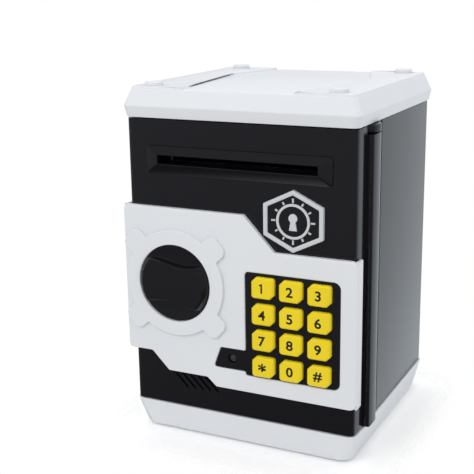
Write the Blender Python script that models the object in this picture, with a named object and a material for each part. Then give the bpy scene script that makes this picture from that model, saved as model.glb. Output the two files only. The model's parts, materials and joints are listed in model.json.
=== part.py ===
"""Toy cash machine: an electronic savings bank shaped like a small safe.

A white base and cap hold a black housing between them. The black door carries the note slot,
the white front panel with the keypad and the round lock knob, and behind it the note rollers
with their motor and gears. Three AA cells sit in a pocket of the base, under a screwed cover.

Frame: x to the right, y to the back, z up. z = 0 is the ground under the feet, and x = 0 is
the middle of the housing. All constants are in millimetres and MM turns them into metres.
"""

import math

import bmesh
import bpy
from mathutils import Matrix, Vector

MM = 0.001

# Housing and door
HALF_W = 63.0
Y_DOOR = -58.0
Y_BACK = 62.0
DOOR_DEPTH = 14.0
WALL = 2.2
Z_DOOR_LOW = 17.1
Z_DOOR_HIGH = 171.9
Z_SHELL_LOW = 16.8
Z_SHELL_HIGH = 172.2

# Base and cap
Z_BASE_LOW = 1.0
Z_BASE_HIGH = 16.5
RIM_HALF_W = 63.8
Z_CAP_LOW = 172.5
Z_CAP_BELLY = 178.2
Z_CAP_HIGH = 188.0
Z_PAD_HIGH = 190.0

# Hinge
HINGE_X = 58.0
HINGE_Y = -35.0
BARREL_R = 8.5
PIN_R = 2.0
HOLE_R = 2.08
Z_BARREL_HIGH = 167.9

# Front panel, knob and lock
PANEL_HALF_W = 65.2
PANEL_FRONT = 3.0
KNOB_X = -35.2
KNOB_Z = 86.8
KNOB_R = 20.3
KNOB_HOLE_R = 20.8
COLLAR_R = 28.5
CAM_R = 9.0

# Keypad
KEY_W = 12.5
KEY_H = 11.1
KEY_COLUMNS = (15.6, 30.75, 45.9)
KEY_ROWS = (90.4, 76.4, 62.5, 48.3)
KEY_NAMES = (("1", "2", "3"), ("4", "5", "6"), ("7", "8", "9"), ("star", "0", "hash"))

# Note slot and feed
SLOT_HALF_W = 44.0
SLOT_Z = 151.6
SLOT_H = 4.4
ROLLER_Y = -32.0
FEED_Z = 145.6
IDLER_Z = 157.2
MOTOR_Z = 133.5
ROLLER_R = 5.6
GEAR_MODULE = 0.8
PRESSURE_ANGLE = math.radians(20.0)

# Battery pocket
CELL_R = 7.25
CELL_LENGTH = 50.5
CELL_PITCH = 14.9
CELL_Z = 11.7
CELL_FRONT = -7.5

for old in list(bpy.data.objects):
    bpy.data.objects.remove(old)


def material(name, colour, roughness, metallic=0.0):
    made = bpy.data.materials.new(name)
    made.use_nodes = True
    shader = made.node_tree.nodes["Principled BSDF"]
    shader.inputs["Base Color"].default_value = (*colour, 1.0)
    shader.inputs["Roughness"].default_value = roughness
    shader.inputs["Metallic"].default_value = metallic
    return made


WHITE = material("white plastic", (0.70, 0.72, 0.74), 0.35)
BLACK = material("black plastic", (0.016, 0.016, 0.019), 0.28)
YELLOW = material("yellow keys", (0.83, 0.64, 0.01), 0.4)
SILVER = material("silver badge", (0.50, 0.53, 0.56), 0.3, 0.8)
RUBBER = material("dark rubber", (0.03, 0.03, 0.032), 0.75)
GREY = material("grey plastic", (0.35, 0.36, 0.38), 0.5)
STEEL = material("bright steel", (0.60, 0.61, 0.63), 0.28, 1.0)
LED = material("lamp lens", (0.55, 0.56, 0.58), 0.15)
BOARD = material("circuit board", (0.02, 0.16, 0.07), 0.5)
CELL = material("cell sleeve", (0.06, 0.18, 0.40), 0.35, 0.3)


def depth(d):
    """The y of a plane d behind the door's front face."""
    return Y_DOOR + d


def circle(u, v, radius, count=20, turn=0.0):
    """Corner points of a regular polygon on a circle around (u, v)."""
    angles = [turn + 2 * math.pi * i / count for i in range(count)]
    return [(u + radius * math.cos(a), v + radius * math.sin(a)) for a in angles]


def box2(u0, u1, v0, v1):
    return [(u0, v0), (u1, v0), (u1, v1), (u0, v1)]


def rounded(corners, steps=2):
    """Outline whose corners, given as (u, v, radius), are replaced by arcs of that radius."""
    points = []
    for i, (u, v, radius) in enumerate(corners):
        here = Vector((u, v))
        before = Vector(corners[i - 1][:2]) - here
        after = Vector(corners[(i + 1) % len(corners)][:2]) - here
        if radius <= 0:
            points.append((u, v))
            continue
        before.normalize()
        after.normalize()
        half = before.angle(after) / 2
        middle = here + (before + after).normalized() * radius / math.sin(half)
        start = here + before * radius / math.tan(half) - middle
        end = here + after * radius / math.tan(half) - middle
        sweep = math.atan2(start.x * end.y - start.y * end.x, start.dot(end))
        for k in range(steps + 1):
            turned = Matrix.Rotation(sweep * k / steps, 2) @ start
            points.append((middle.x + turned.x, middle.y + turned.y))
    return points


def rounded_box(u0, u1, v0, v1, radius, steps=2):
    return rounded([(u, v, radius) for u, v in box2(u0, u1, v0, v1)], steps)


def place(axis, u, v, w):
    """World point of outline point (u, v) at height w along an axis."""
    if axis == "X":
        return Vector((w, u, v)) * MM
    if axis == "Y":
        return Vector((u, w, v)) * MM
    return Vector((u, v, w)) * MM


def loft(sections, axis="Z", closed=False):
    """Solid through outlines of equal length, each given as (outline, height).

    A closed loft joins its last outline to its first, for a ring; otherwise its ends are capped.
    """
    bm = bmesh.new()
    rings = [[bm.verts.new(place(axis, u, v, w)) for u, v in outline] for outline, w in sections]
    pairs = list(zip(rings, rings[1:]))
    if closed:
        pairs.append((rings[-1], rings[0]))
    for low, high in pairs:
        for i in range(len(low)):
            j = (i + 1) % len(low)
            bm.faces.new((low[i], low[j], high[j], high[i]))
    if not closed:
        bm.faces.new(rings[0])
        bm.faces.new(rings[-1])
    bmesh.ops.recalc_face_normals(bm, faces=bm.faces)
    return solid(bm)


def solid(bm):
    mesh = bpy.data.meshes.new("shape")
    bm.to_mesh(mesh)
    bm.free()
    made = bpy.data.objects.new("shape", mesh)
    bpy.context.scene.collection.objects.link(made)
    return made


def prism(outline, w0, w1, axis="Z"):
    return loft([(outline, w0), (outline, w1)], axis)


def block(x0, x1, y0, y1, z0, z1):
    return prism(box2(x0, x1, y0, y1), z0, z1)


def turned(u, v, profile, axis="Z", count=20):
    """Solid of revolution about a line along an axis, from (radius, height) pairs."""
    return loft([(circle(u, v, radius, count), w) for radius, w in profile], axis)


def rod(u, v, radius, w0, w1, axis="Z", count=20):
    return turned(u, v, [(radius, w0), (radius, w1)], axis, count)


def combine(body, others, operation):
    """Boolean of a body with other shapes, which are used up."""
    for other in others:
        step = body.modifiers.new("boolean", "BOOLEAN")
        step.operation = operation
        step.solver = "EXACT"
        step.object = other
        bpy.context.view_layer.update()
        graph = bpy.context.evaluated_depsgraph_get()
        result = bpy.data.meshes.new_from_object(body.evaluated_get(graph))
        body.modifiers.clear()
        body.data = result
        bpy.data.objects.remove(other)
    return body


def join(body, *others):
    return combine(body, others, "UNION")


def cut(body, *others):
    return combine(body, others, "DIFFERENCE")


def common(body, *others):
    return combine(body, others, "INTERSECT")


def pivot(name, x, y, z, parent=None):
    """Empty on a joint's axis, which carries the pieces that turn together."""
    made = bpy.data.objects.new(name, None)
    made.empty_display_size = 0.02
    bpy.context.scene.collection.objects.link(made)
    made.location = Vector((x, y, z)) * MM
    if parent:
        made.parent = parent
        made.location = Vector((x, y, z)) * MM - parent.location
    return made


def world_place(obj):
    spot = obj.location.copy()
    while obj.parent:
        obj = obj.parent
        spot = spot + obj.location
    return spot


def piece(name, body, look, origin=(0.0, 0.0, 0.0), parent=None, sharp=35.0):
    """Names a finished solid, sets its material and its origin, and parents it."""
    spot = Vector(origin) * MM
    body.name = name
    body.data.name = name
    body.data.transform(Matrix.Translation(-spot))
    body.data.materials.clear()
    body.data.materials.append(look)
    body.data.shade_smooth()
    body.data.set_sharp_from_angle(angle=math.radians(sharp))
    body.location = spot
    if parent:
        body.parent = parent
        body.location = spot - world_place(parent)
    return body


def involute(radius, base_radius):
    """Polar angle of an involute of a base circle, where it has reached a radius."""
    if radius <= base_radius:
        return 0.0
    slope = math.acos(base_radius / radius)
    return math.tan(slope) - slope


def gear(u, v, teeth, first, addendum=0.65, root=0.9, play=0.1):
    """Outline of an involute spur gear; the centre of one tooth is at the angle first."""
    pitch_r = GEAR_MODULE * teeth / 2
    base_r = pitch_r * math.cos(PRESSURE_ANGLE)
    radii = (pitch_r - root, pitch_r, pitch_r + addendum)
    flank = []
    for radius in radii:
        half = math.pi / (2 * teeth) - play / pitch_r
        half += involute(pitch_r, base_r) - involute(radius, base_r)
        flank.append((radius, half))
    points = []
    for i in range(teeth):
        centre = first + 2 * math.pi * i / teeth
        for radius, half in flank:
            points.append((radius, centre - half))
        for radius, half in reversed(flank):
            points.append((radius, centre + half))
    return [(u + r * math.cos(a), v + r * math.sin(a)) for r, a in points]


# ---------------------------------------------------------------- base
def base_outline(inset, corner):
    return rounded_box(
        -RIM_HALF_W + inset, RIM_HALF_W - inset,
        Y_DOOR - 0.8 + inset, Y_BACK + 0.8 - inset, corner, 3,
    )


POCKET = (-24.5, 24.5, -11.5, 47.5)
SCREW_SPOTS = ((-50.0, -28.0), (50.0, -28.0), (-50.0, 32.0), (50.0, 32.0))
FOOT_SPOTS = ((-48.0, -43.5), (48.0, -43.5), (-48.0, 47.5), (48.0, 47.5))
PLACES = ("front_left", "front_right", "rear_left", "rear_right")

base = loft([
    (base_outline(3.7, 7.0), Z_BASE_LOW),
    (base_outline(3.1, 7.0), Z_BASE_LOW + 0.7),
    (base_outline(0.0, 4.4), Z_BASE_HIGH - 0.5),
    (base_outline(0.4, 4.0), Z_BASE_HIGH),
])
cut(base, loft([
    (base_outline(6.2, 4.5), Z_BASE_LOW - 0.5),
    (base_outline(3.4, 3.0), 14.0),
]))
join(
    base,
    prism(rounded_box(*POCKET, 3.0), 4.4, 21.4),
    turned(HINGE_X, HINGE_Y, [(4.0, 15.0), (3.6, 16.7)]),
    turned(HINGE_X, HINGE_Y, [(PIN_R, 15.5), (PIN_R, 26.6), (1.4, 27.4)], count=16),
)
for x, y in SCREW_SPOTS:
    join(base, rod(x, y, 3.5, 4.4, 15.0, count=12))
    cut(base, rod(x, y, 1.3, 3.5, 12.0, count=8))
cut(base, block(-23.0, 23.0, -10.0, 46.0, 3.0, 19.2))
piece("base", base, WHITE)

# ---------------------------------------------------------------- bottom plate
plate = prism(base_outline(6.7, 4.2), Z_BASE_LOW, 4.0)
join(plate, rod(0.0, 51.2, 3.0, 3.0, 10.0, count=12))
cut(
    plate,
    prism(rounded_box(-25.0, 25.0, -12.0, 48.0, 1.5), 0.5, 2.8),
    prism(rounded_box(-4.3, 4.3, 40.0, 54.6, 1.0), 0.6, 2.8),
    block(-22.5, 22.5, -9.5, 45.5, 0.4, 5.0),
    rod(0.0, 51.2, 1.3, 0.3, 9.0, count=8),
)
for x, y in SCREW_SPOTS:
    cut(
        plate,
        rod(x, y, 3.1, 0.5, 2.6, count=16),
        rod(x, y, 1.5, 0.4, 5.0, count=8),
    )
for x, y in FOOT_SPOTS:
    cut(plate, rod(x, y, 5.4, 0.5, 2.2, count=16))
piece("bottom_plate", plate, WHITE)

for spot, (x, y) in zip(PLACES, SCREW_SPOTS):
    screw = turned(x, y, [(2.7, 1.3), (2.7, 2.3), (1.1, 2.5), (1.1, 11.0)], count=8)
    cut(screw, block(x - 1.6, x + 1.6, y - 0.3, y + 0.3, 1.0, 1.8))
    piece("base_screw_" + spot, screw, STEEL)
for spot, (x, y) in zip(PLACES, FOOT_SPOTS):
    foot = turned(x, y, [(4.5, 0.0), (5.0, 0.5), (5.0, 1.9)], count=16)
    piece("foot_" + spot, foot, RUBBER)

cover = prism(rounded_box(-24.7, 24.7, -11.7, 47.7, 1.3), Z_BASE_LOW, 2.5)
join(cover, prism(rounded_box(-4.0, 4.0, 44.0, 54.3, 0.8), 1.05, 2.45))
cut(
    cover,
    rod(0.0, 51.2, 2.7, 0.5, 1.9, count=16),
    rod(0.0, 51.2, 1.5, 0.4, 3.0, count=8),
)
for i in range(3):
    cut(cover, block(-9.0, 9.0, -8.0 + 2.8 * i, -6.6 + 2.8 * i, 0.5, 1.5))
piece("battery_cover", cover, WHITE)

screw = turned(0.0, 51.2, [(2.3, 1.05), (2.3, 1.7), (1.1, 1.72), (1.1, 8.2)], count=8)
cut(screw, block(-1.4, 1.4, 50.95, 51.45, 0.8, 1.4))
piece("battery_cover_screw", screw, STEEL)

for i, spot in enumerate(("left", "middle", "right")):
    x = (i - 1) * CELL_PITCH
    near, far = CELL_FRONT, CELL_FRONT + CELL_LENGTH
    can = [(CELL_R, near), (CELL_R, far - 1.2), (2.75, far - 1.1), (2.75, far)]
    if i == 1:
        can = [(radius, near + far - y) for radius, y in reversed(can)]
    cell = loft([(circle(x, CELL_Z, radius, 16), y) for radius, y in can], "Y")
    piece("battery_cell_" + spot, cell, CELL)
for spot, y, side in (("front", -9.6, 1), ("rear", 45.6, -1)):
    contact = block(-21.5, 21.5, min(y, y + 0.5 * side), max(y, y + 0.5 * side), 5.0, 17.5)
    for i in range(3):
        x = (i - 1) * CELL_PITCH
        cone = [(3.2, y + 0.2 * side), (1.6, y + (1.8 if side > 0 else 2.2) * side)]
        join(contact, turned(x, CELL_Z, cone, "Y", 8))
    piece("battery_contact_" + spot, contact, STEEL)

# ---------------------------------------------------------------- housing
plan = rounded([
    (-HALF_W, -43.7, 0), (-55.0, -43.7, 0), (-55.0, -41.5, 0), (-HALF_W + WALL, -41.5, 0),
    (-HALF_W + WALL, Y_BACK - WALL, 1.8), (HALF_W - WALL, Y_BACK - WALL, 1.8),
    (HALF_W - WALL, -22.3, 0), (HALF_W, -22.3, 0), (HALF_W, Y_BACK, 4.0),
    (-HALF_W, Y_BACK, 4.0),
], 3)
shell = prism(plan, Z_SHELL_LOW, Z_SHELL_HIGH)
join(
    shell,
    rod(HINGE_X, HINGE_Y, BARREL_R, 168.2, 172.1),
    block(HINGE_X - 6.0, HALF_W - 0.4, HINGE_Y, -12.0, 168.3, 172.0),
)
cut(shell, rod(HINGE_X, HINGE_Y, HOLE_R, 160.0, 175.0, count=16))
piece("body_shell", shell, BLACK)

pin = turned(HINGE_X, HINGE_Y, [
    (1.5, 160.0), (PIN_R, 160.8), (PIN_R, 172.4), (3.2, 172.5), (3.2, 174.0),
], count=16)
piece("hinge_pin_upper", pin, STEEL)


# ---------------------------------------------------------------- cap
def cap_outline(half, corner):
    grow = half - 63.6
    return rounded_box(-half, half, -58.6 - grow, 62.6 + grow, corner, 3)


RECESS = 0.9
PAD_SPOTS = ((-50.5, -49.3), (50.5, -49.3), (-50.5, 53.3), (50.5, 53.3))

cap = loft([
    (cap_outline(63.6, 4.0), Z_CAP_LOW),
    (cap_outline(64.8, 4.3), Z_CAP_BELLY),
    (cap_outline(61.3, 4.0), Z_CAP_HIGH - 0.5),
    (cap_outline(60.8, 3.6), Z_CAP_HIGH),
])
cut(cap, loft([
    (cap_outline(61.1, 2.0), Z_CAP_LOW - 0.3),
    (cap_outline(62.3, 2.2), Z_CAP_BELLY),
    (cap_outline(59.6, 2.0), 185.0),
]))
hourglass = rounded([
    (-30.0, -70.0, 0), (30.0, -70.0, 0), (30.0, -51.0, 2.0), (42.5, -15.0, 8.0),
    (42.5, 19.0, 8.0), (30.0, 55.0, 2.0), (30.0, 74.0, 0), (-30.0, 74.0, 0),
    (-30.0, 55.0, 2.0), (-42.5, 19.0, 8.0), (-42.5, -15.0, 8.0), (-30.0, -51.0, 2.0),
])
cut(cap, prism(hourglass, Z_CAP_HIGH - RECESS, Z_CAP_HIGH + 3.0))
for x, y in PAD_SPOTS:
    cut(cap, rod(x, y, 5.1, 187.2, 192.0, count=16))
join(
    cap,
    block(-60.5, -59.0, 0.0, 40.0, 166.0, 186.0),
    block(59.0, 60.5, 0.0, 40.0, 166.2, 186.2),
    block(-30.0, 30.0, 57.9, 59.4, 166.4, 186.0),
)
piece("top_cap", cap, WHITE)
for spot, (x, y) in zip(PLACES, PAD_SPOTS):
    pad = turned(x, y, [(4.8, 187.5), (4.8, 189.5), (4.3, Z_PAD_HIGH)], count=16)
    piece("top_pad_" + spot, pad, WHITE)


# ---------------------------------------------------------------- door
def door_solid():
    """The door slab with the hinge barrel on its back, which stops below the fixed tab."""
    slab = rounded([
        (-HALF_W, depth(DOOR_DEPTH), 0), (-HALF_W, Y_DOOR, 3.0), (HALF_W, Y_DOOR, 3.0),
        (HALF_W, depth(DOOR_DEPTH), 0),
    ], 3)
    turn = [math.pi * i / 12 for i in range(13)]
    arc = [(HINGE_X + BARREL_R * math.cos(a), HINGE_Y + BARREL_R * math.sin(a)) for a in turn]
    front = rounded([
        (HALF_W, depth(DOOR_DEPTH), 0), (HINGE_X + BARREL_R, depth(DOOR_DEPTH), 1.2),
        (HINGE_X + BARREL_R, HINGE_Y, 0),
    ])
    barrel = front[1:-1] + arc + [(HINGE_X - BARREL_R, depth(DOOR_DEPTH))]
    bm = bmesh.new()
    levels = []
    for outline, z in (
        (slab + barrel, Z_DOOR_LOW), (slab + barrel, Z_BARREL_HIGH),
        (slab + barrel[-1:], Z_DOOR_HIGH),
    ):
        levels.append([bm.verts.new(place("Z", u, v, z)) for u, v in outline])
    low, middle, high = levels
    count = len(slab)
    shoulder = middle[:count] + middle[-1:]
    for first, second in ((low, middle), (shoulder, high)):
        for i in range(len(first)):
            j = (i + 1) % len(first)
            bm.faces.new((first[i], first[j], second[j], second[i]))
    bm.faces.new(low)
    bm.faces.new(high)
    bm.faces.new(middle[count - 1:])
    bmesh.ops.recalc_face_normals(bm, faces=bm.faces)
    return solid(bm)


KEY_OPENING = (7.0, 54.5, 42.5, 96.4)
COVER_SPOTS = ((-55.5, 26.0), (-55.5, 163.0), (42.0, 26.0), (42.0, 163.0))
COVER_NAMES = ("low_left", "high_left", "low_right", "high_right")
POST_SPOTS = ((4.2, 41.3), (4.2, 97.8), (56.8, 41.3), (56.8, 97.8))

door_pivot = pivot("door_pivot", HINGE_X, HINGE_Y, 0.0)
door = door_solid()
hollow = [
    (-HALF_W + WALL, depth(WALL)), (HALF_W - WALL, depth(WALL)), (HALF_W - WALL, depth(11.8)),
    (47.3, depth(11.8)), (47.3, depth(16.0)), (-HALF_W + WALL, depth(16.0)),
]
cut(door, prism(hollow, Z_DOOR_LOW + WALL, Z_DOOR_HIGH - WALL))
for x, z in COVER_SPOTS:
    join(door, rod(x, z, 3.2, depth(1.5), depth(11.5), "Y", 10))
    cut(door, rod(x, z, 1.3, depth(4.0), depth(13.0), "Y", 8))
for x, z in POST_SPOTS:
    join(door, rod(x, z, 1.5, depth(1.4), depth(4.2), "Y", 6))
slits = []
for i in range(5):
    run = Matrix.Rotation(math.radians(-45.0), 2)
    middle = Vector((-37.9 + 4.6 * i + 2.6, 32.1))
    corners = rounded_box(-6.2, 6.2, -0.55, 0.55, 0.4, 1)
    outline = [tuple(middle + run @ Vector(p)) for p in corners]
    slits.append(prism(outline, depth(-1.0), depth(3.0), "Y"))
cut(
    door,
    *slits,
    rod(HINGE_X, HINGE_Y, HOLE_R, 10.0, 28.0, count=16),
    rod(HINGE_X, HINGE_Y, HOLE_R, 159.5, 175.0, count=16),
    prism(box2(-44.5, 44.5, 149.0, 154.2), depth(-1.0), depth(3.0), "Y"),
    prism(box2(*KEY_OPENING), depth(-1.0), depth(3.0), "Y"),
    rod(KNOB_X, KNOB_Z, 6.08, depth(-1.0), depth(3.0), "Y"),
    rod(-2.6, 49.7, 2.5, depth(-1.0), depth(3.0), "Y", 12),
)
piece("door_shell", door, BLACK, (HINGE_X, HINGE_Y, 0.0), door_pivot)

back_cover = prism(box2(-60.5, 47.0, 19.6, 169.4), depth(11.8), depth(13.8), "Y")
cut(
    back_cover,
    prism(box2(-45.0, 45.0, 148.6, 154.6), depth(10.0), depth(15.0), "Y"),
    rod(KNOB_X, KNOB_Z, 5.3, depth(10.0), depth(15.0), "Y"),
)
for x, z in COVER_SPOTS:
    cut(
        back_cover,
        rod(x, z, 2.9, depth(12.7), depth(15.0), "Y", 12),
        rod(x, z, 1.5, depth(11.0), depth(15.0), "Y", 8),
    )
piece("door_back_cover", back_cover, BLACK, (HINGE_X, HINGE_Y, 0.0), door_pivot)
for spot, (x, z) in zip(COVER_NAMES, COVER_SPOTS):
    screw = turned(x, z, [
        (1.1, depth(4.8)), (1.1, depth(12.8)), (2.5, depth(12.9)), (2.5, depth(13.7)),
    ], "Y", 8)
    cut(screw, prism(box2(x - 1.5, x + 1.5, z - 0.3, z + 0.3), depth(13.2), depth(14.0), "Y"))
    piece("cover_screw_" + spot, screw, STEEL, (x, depth(9.0), z), door_pivot)

# ---------------------------------------------------------------- front panel
plan = rounded([
    (-PANEL_HALF_W, depth(5.0), 0.8), (-PANEL_HALF_W, depth(-PANEL_FRONT), 1.8),
    (PANEL_HALF_W, depth(-PANEL_FRONT), 1.8), (PANEL_HALF_W, depth(5.0), 0.8),
    (HALF_W + 0.3, depth(5.0), 0.3), (HALF_W + 0.3, depth(-0.3), 0),
    (-HALF_W - 0.3, depth(-0.3), 0), (-HALF_W - 0.3, depth(5.0), 0.3),
])
panel = prism(plan, 30.0, 130.0)
EDGE = PANEL_HALF_W + 0.2
face = rounded([
    (-EDGE, 46.9, 3.0), (-50.9, 46.9, 1.5), (-40.9, 36.9, 1.5), (-17.7, 36.9, 1.5),
    (-12.4, 32.3, 1.5), (EDGE, 32.3, 4.0), (EDGE, 109.0, 4.0), (21.2, 109.0, 1.5),
    (4.4, 126.8, 1.5), (-EDGE, 126.8, 3.0),
], 3)
common(panel, prism(face, depth(-8.0), depth(8.0), "Y"))


def lobe(degrees):
    """Round-ended bar from radius 24 to 36 around the knob's axis."""
    run = Matrix.Rotation(math.radians(degrees), 2)
    bar = rounded_box(22.0, 36.0, -5.2, 5.2, 4.0, 3)
    return [tuple(Vector((KNOB_X, KNOB_Z)) + run @ Vector(p)) for p in bar]


collar = turned(KNOB_X, KNOB_Z, [(COLLAR_R, depth(-1.8)), (COLLAR_R, depth(-4.1)),
                                 (COLLAR_R - 0.5, depth(-4.5))], "Y", 40)
for degrees in (42.0, 138.0, 222.0, 318.0):
    join(collar, prism(lobe(degrees), depth(-1.7), depth(-4.4), "Y"))
join(panel, collar)
FRAME = ((5.3, 42.0), (56.1, 42.0), (56.1, 97.3), (5.3, 97.3))


def frame_outline(grow):
    """Keypad frame with its tail to the left, moved outwards by grow."""
    low, high = 42.0 - grow, 97.3 + grow
    left, right = 5.3 - grow, 56.1 + grow
    return rounded([
        (left, low, 2.0), (right, low, 3.5), (right, high, 3.5), (left, high, 2.0),
        (left, 54.7 + grow, 1.0), (-9.1 - grow, 54.7 + grow, 1.2),
        (-13.1 - grow * 1.3, 44.0 - grow, 1.2), (left, 44.0 - grow, 0.8),
    ], 2)


cut(
    panel,
    rod(KNOB_X, KNOB_Z, KNOB_HOLE_R, depth(-9.0), depth(3.0), "Y", 40),
    prism(frame_outline(0.3), depth(-9.0), depth(3.0), "Y"),
)
piece("front_panel", panel, WHITE, (HINGE_X, HINGE_Y, 0.0), door_pivot)

# ---------------------------------------------------------------- slot bezel and badge
BEZEL_RINGS = (
    (51.0, 144.0, 158.4, 1.2, -0.3), (51.0, 144.0, 158.4, 1.2, -0.9),
    (44.6, 148.9, 154.3, 0.5, -2.5), (SLOT_HALF_W, SLOT_Z - SLOT_H / 2, SLOT_Z + SLOT_H / 2, 0.4, -2.3),
    (SLOT_HALF_W, SLOT_Z - SLOT_H / 2, SLOT_Z + SLOT_H / 2, 0.4, -0.3),
)
bezel = loft(
    [(rounded_box(-w, w, low, high, r), depth(d)) for w, low, high, r, d in BEZEL_RINGS],
    "Y", closed=True,
)
piece("slot_bezel", bezel, BLACK, (HINGE_X, HINGE_Y, 0.0), door_pivot)

BADGE_X = 31.1
BADGE_Z = 125.7


def badge_outline(inset):
    """Upright six-sided plate, with points at the top and the bottom."""
    w, h, side = 15.9 - inset, 15.7 - 1.1 * inset, 8.0 - 0.6 * inset
    corners = [(0, -h), (w, -side), (w, side), (0, h), (-w, side), (-w, -side)]
    return rounded([(BADGE_X + u, BADGE_Z + v, 1.0) for u, v in corners])


badge = loft([
    (badge_outline(0.0), depth(-0.3)), (badge_outline(0.0), depth(-1.8)),
    (badge_outline(0.5), depth(-2.3)),
], "Y")
cut(badge, prism(badge_outline(2.2), depth(-4.0), depth(-1.5), "Y"))
piece("badge", badge, SILVER, (BADGE_X, depth(-0.3), BADGE_Z), door_pivot)

# ---------------------------------------------------------------- keypad
frame = prism(frame_outline(0.0), depth(-2.8), depth(-0.3), "Y")


def key_outline(x, z, grow):
    """Key face: the upper left and lower right corners are cut off, the others rounded."""
    w, h = KEY_W / 2 + grow, KEY_H / 2 + grow
    return rounded([
        (x - w, z - h, 1.0), (x + w - 3.0, z - h, 0.8), (x + w, z - h + 3.0, 0.8),
        (x + w, z + h, 1.0), (x - w + 3.0, z + h, 0.8), (x - w, z + h - 3.0, 0.8),
    ], 1)


for z in KEY_ROWS:
    for x in KEY_COLUMNS:
        cut(frame, prism(key_outline(x, z, 0.2), depth(-4.0), depth(1.0), "Y"))
cut(frame, rod(-2.6, 49.7, 2.45, depth(-4.0), depth(1.0), "Y", 16))
piece("keypad_frame", frame, BLACK, (HINGE_X, HINGE_Y, 0.0), door_pivot)

for z, names in zip(KEY_ROWS, KEY_NAMES):
    for x, label in zip(KEY_COLUMNS, names):
        key = loft([
            (key_outline(x, z, 0.0), depth(0.4)), (key_outline(x, z, 0.0), depth(-4.3)),
            (key_outline(x, z, -0.7), depth(-5.0)),
        ], "Y")
        flange = box2(x - 7.2, x + 7.2, z - KEY_H / 2, z + KEY_H / 2)
        join(key, prism(flange, depth(0.0), depth(1.0), "Y"))
        piece("key_" + label, key, YELLOW, (x, depth(-2.0), z), door_pivot)

mat = prism(rounded_box(6.2, 55.3, 43.3, 95.7, 1.5), depth(3.0), depth(4.2), "Y")
piece("keypad_mat", mat, RUBBER, (HINGE_X, HINGE_Y, 0.0), door_pivot)
board = prism(rounded_box(2.0, 58.6, 39.3, 99.6, 1.0), depth(4.5), depth(6.1), "Y")
piece("keypad_board", board, BOARD, (HINGE_X, HINGE_Y, 0.0), door_pivot)

lamp = turned(-2.6, 49.7, [(1.2, depth(-2.6)), (2.0, depth(-2.2)), (2.2, depth(-1.6)),
                           (2.2, depth(3.4))], "Y", 12)
piece("status_led", lamp, LED, (-2.6, depth(0.0), 49.7), door_pivot)

speaker = turned(-26.0, 38.0, [(13.0, depth(2.6)), (13.0, depth(4.2)), (8.0, depth(5.6)),
                               (8.0, depth(8.4))], "Y", 20)
piece("speaker", speaker, GREY, (-26.0, depth(5.0), 38.0), door_pivot)

# ---------------------------------------------------------------- knob and lock
knob_pivot = pivot("knob_pivot", KNOB_X, Y_DOOR, KNOB_Z, door_pivot)
knob = turned(KNOB_X, KNOB_Z, [
    (KNOB_R, depth(-0.5)), (KNOB_R, depth(-3.4)), (18.6, depth(-6.1)), (18.0, depth(-6.5)),
], "Y", 40)
scoop = [(-24.0, -11.9), (-15.5, -10.9), (-11.0, -9.7), (-6.6, -9.1), (-2.0, -9.3), (1.0, -9.8),
         (5.0, -10.9), (9.0, -11.8), (14.7, -12.6), (24.0, -12.8), (24.0, -30.0), (-24.0, -30.0)]
lower = [(KNOB_X + u, KNOB_Z + v) for u, v in scoop]
upper = [(KNOB_X - u, KNOB_Z - v) for u, v in scoop]
cut(
    knob,
    prism(lower, depth(-9.0), depth(-3.2), "Y"),
    prism(upper, depth(-9.0), depth(-3.2), "Y"),
)
join(knob, rod(KNOB_X, KNOB_Z, 6.0, depth(-1.5), depth(3.6), "Y"))
piece("knob", knob, BLACK, (KNOB_X, Y_DOOR, KNOB_Z), knob_pivot)

cam = rod(KNOB_X, KNOB_Z, CAM_R, depth(4.0), depth(7.2), "Y", 28)
cut(
    cam,
    prism(box2(KNOB_X + 5.2, KNOB_X + 12.0, KNOB_Z - 2.4, KNOB_Z + 2.4),
          depth(2.0), depth(9.0), "Y"),
    prism(box2(KNOB_X - 2.4, KNOB_X + 2.4, KNOB_Z + 5.2, KNOB_Z + 12.0),
          depth(2.0), depth(9.0), "Y"),
)
join(cam, rod(KNOB_X, KNOB_Z, 5.0, depth(6.0), depth(16.6), "Y", 16))
piece("lock_cam", cam, GREY, (KNOB_X, Y_DOOR, KNOB_Z), knob_pivot)

arm = rounded([
    (KNOB_X - 3.5, KNOB_Z - 22.3, 1.2), (KNOB_X + 3.5, KNOB_Z - 22.3, 1.2),
    (KNOB_X + 5.0, KNOB_Z, 0), (KNOB_X - 5.0, KNOB_Z, 0),
])
latch = rod(KNOB_X, KNOB_Z, 6.6, depth(16.9), depth(19.5), "Y")
join(latch, prism(arm, depth(17.0), depth(19.3), "Y"))
piece("knob_latch", latch, STEEL, (KNOB_X, Y_DOOR, KNOB_Z), knob_pivot)

coil = prism(rounded_box(-22.0, -4.0, KNOB_Z - 5.0, KNOB_Z + 5.0, 1.0, 1),
             depth(2.6), depth(10.6), "Y")
cut(coil, rod(depth(5.6), KNOB_Z, HOLE_R, -25.0, -9.0, "X", 16))
piece("lock_solenoid", coil, GREY, (-13.0, depth(6.6), KNOB_Z), door_pivot)
bolt = turned(depth(5.6), KNOB_Z, [(1.6, -25.9), (PIN_R, -25.5), (PIN_R, -9.5)], "X", 16)
piece("lock_plunger", bolt, STEEL, (-25.9, depth(5.6), KNOB_Z), door_pivot)

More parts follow.
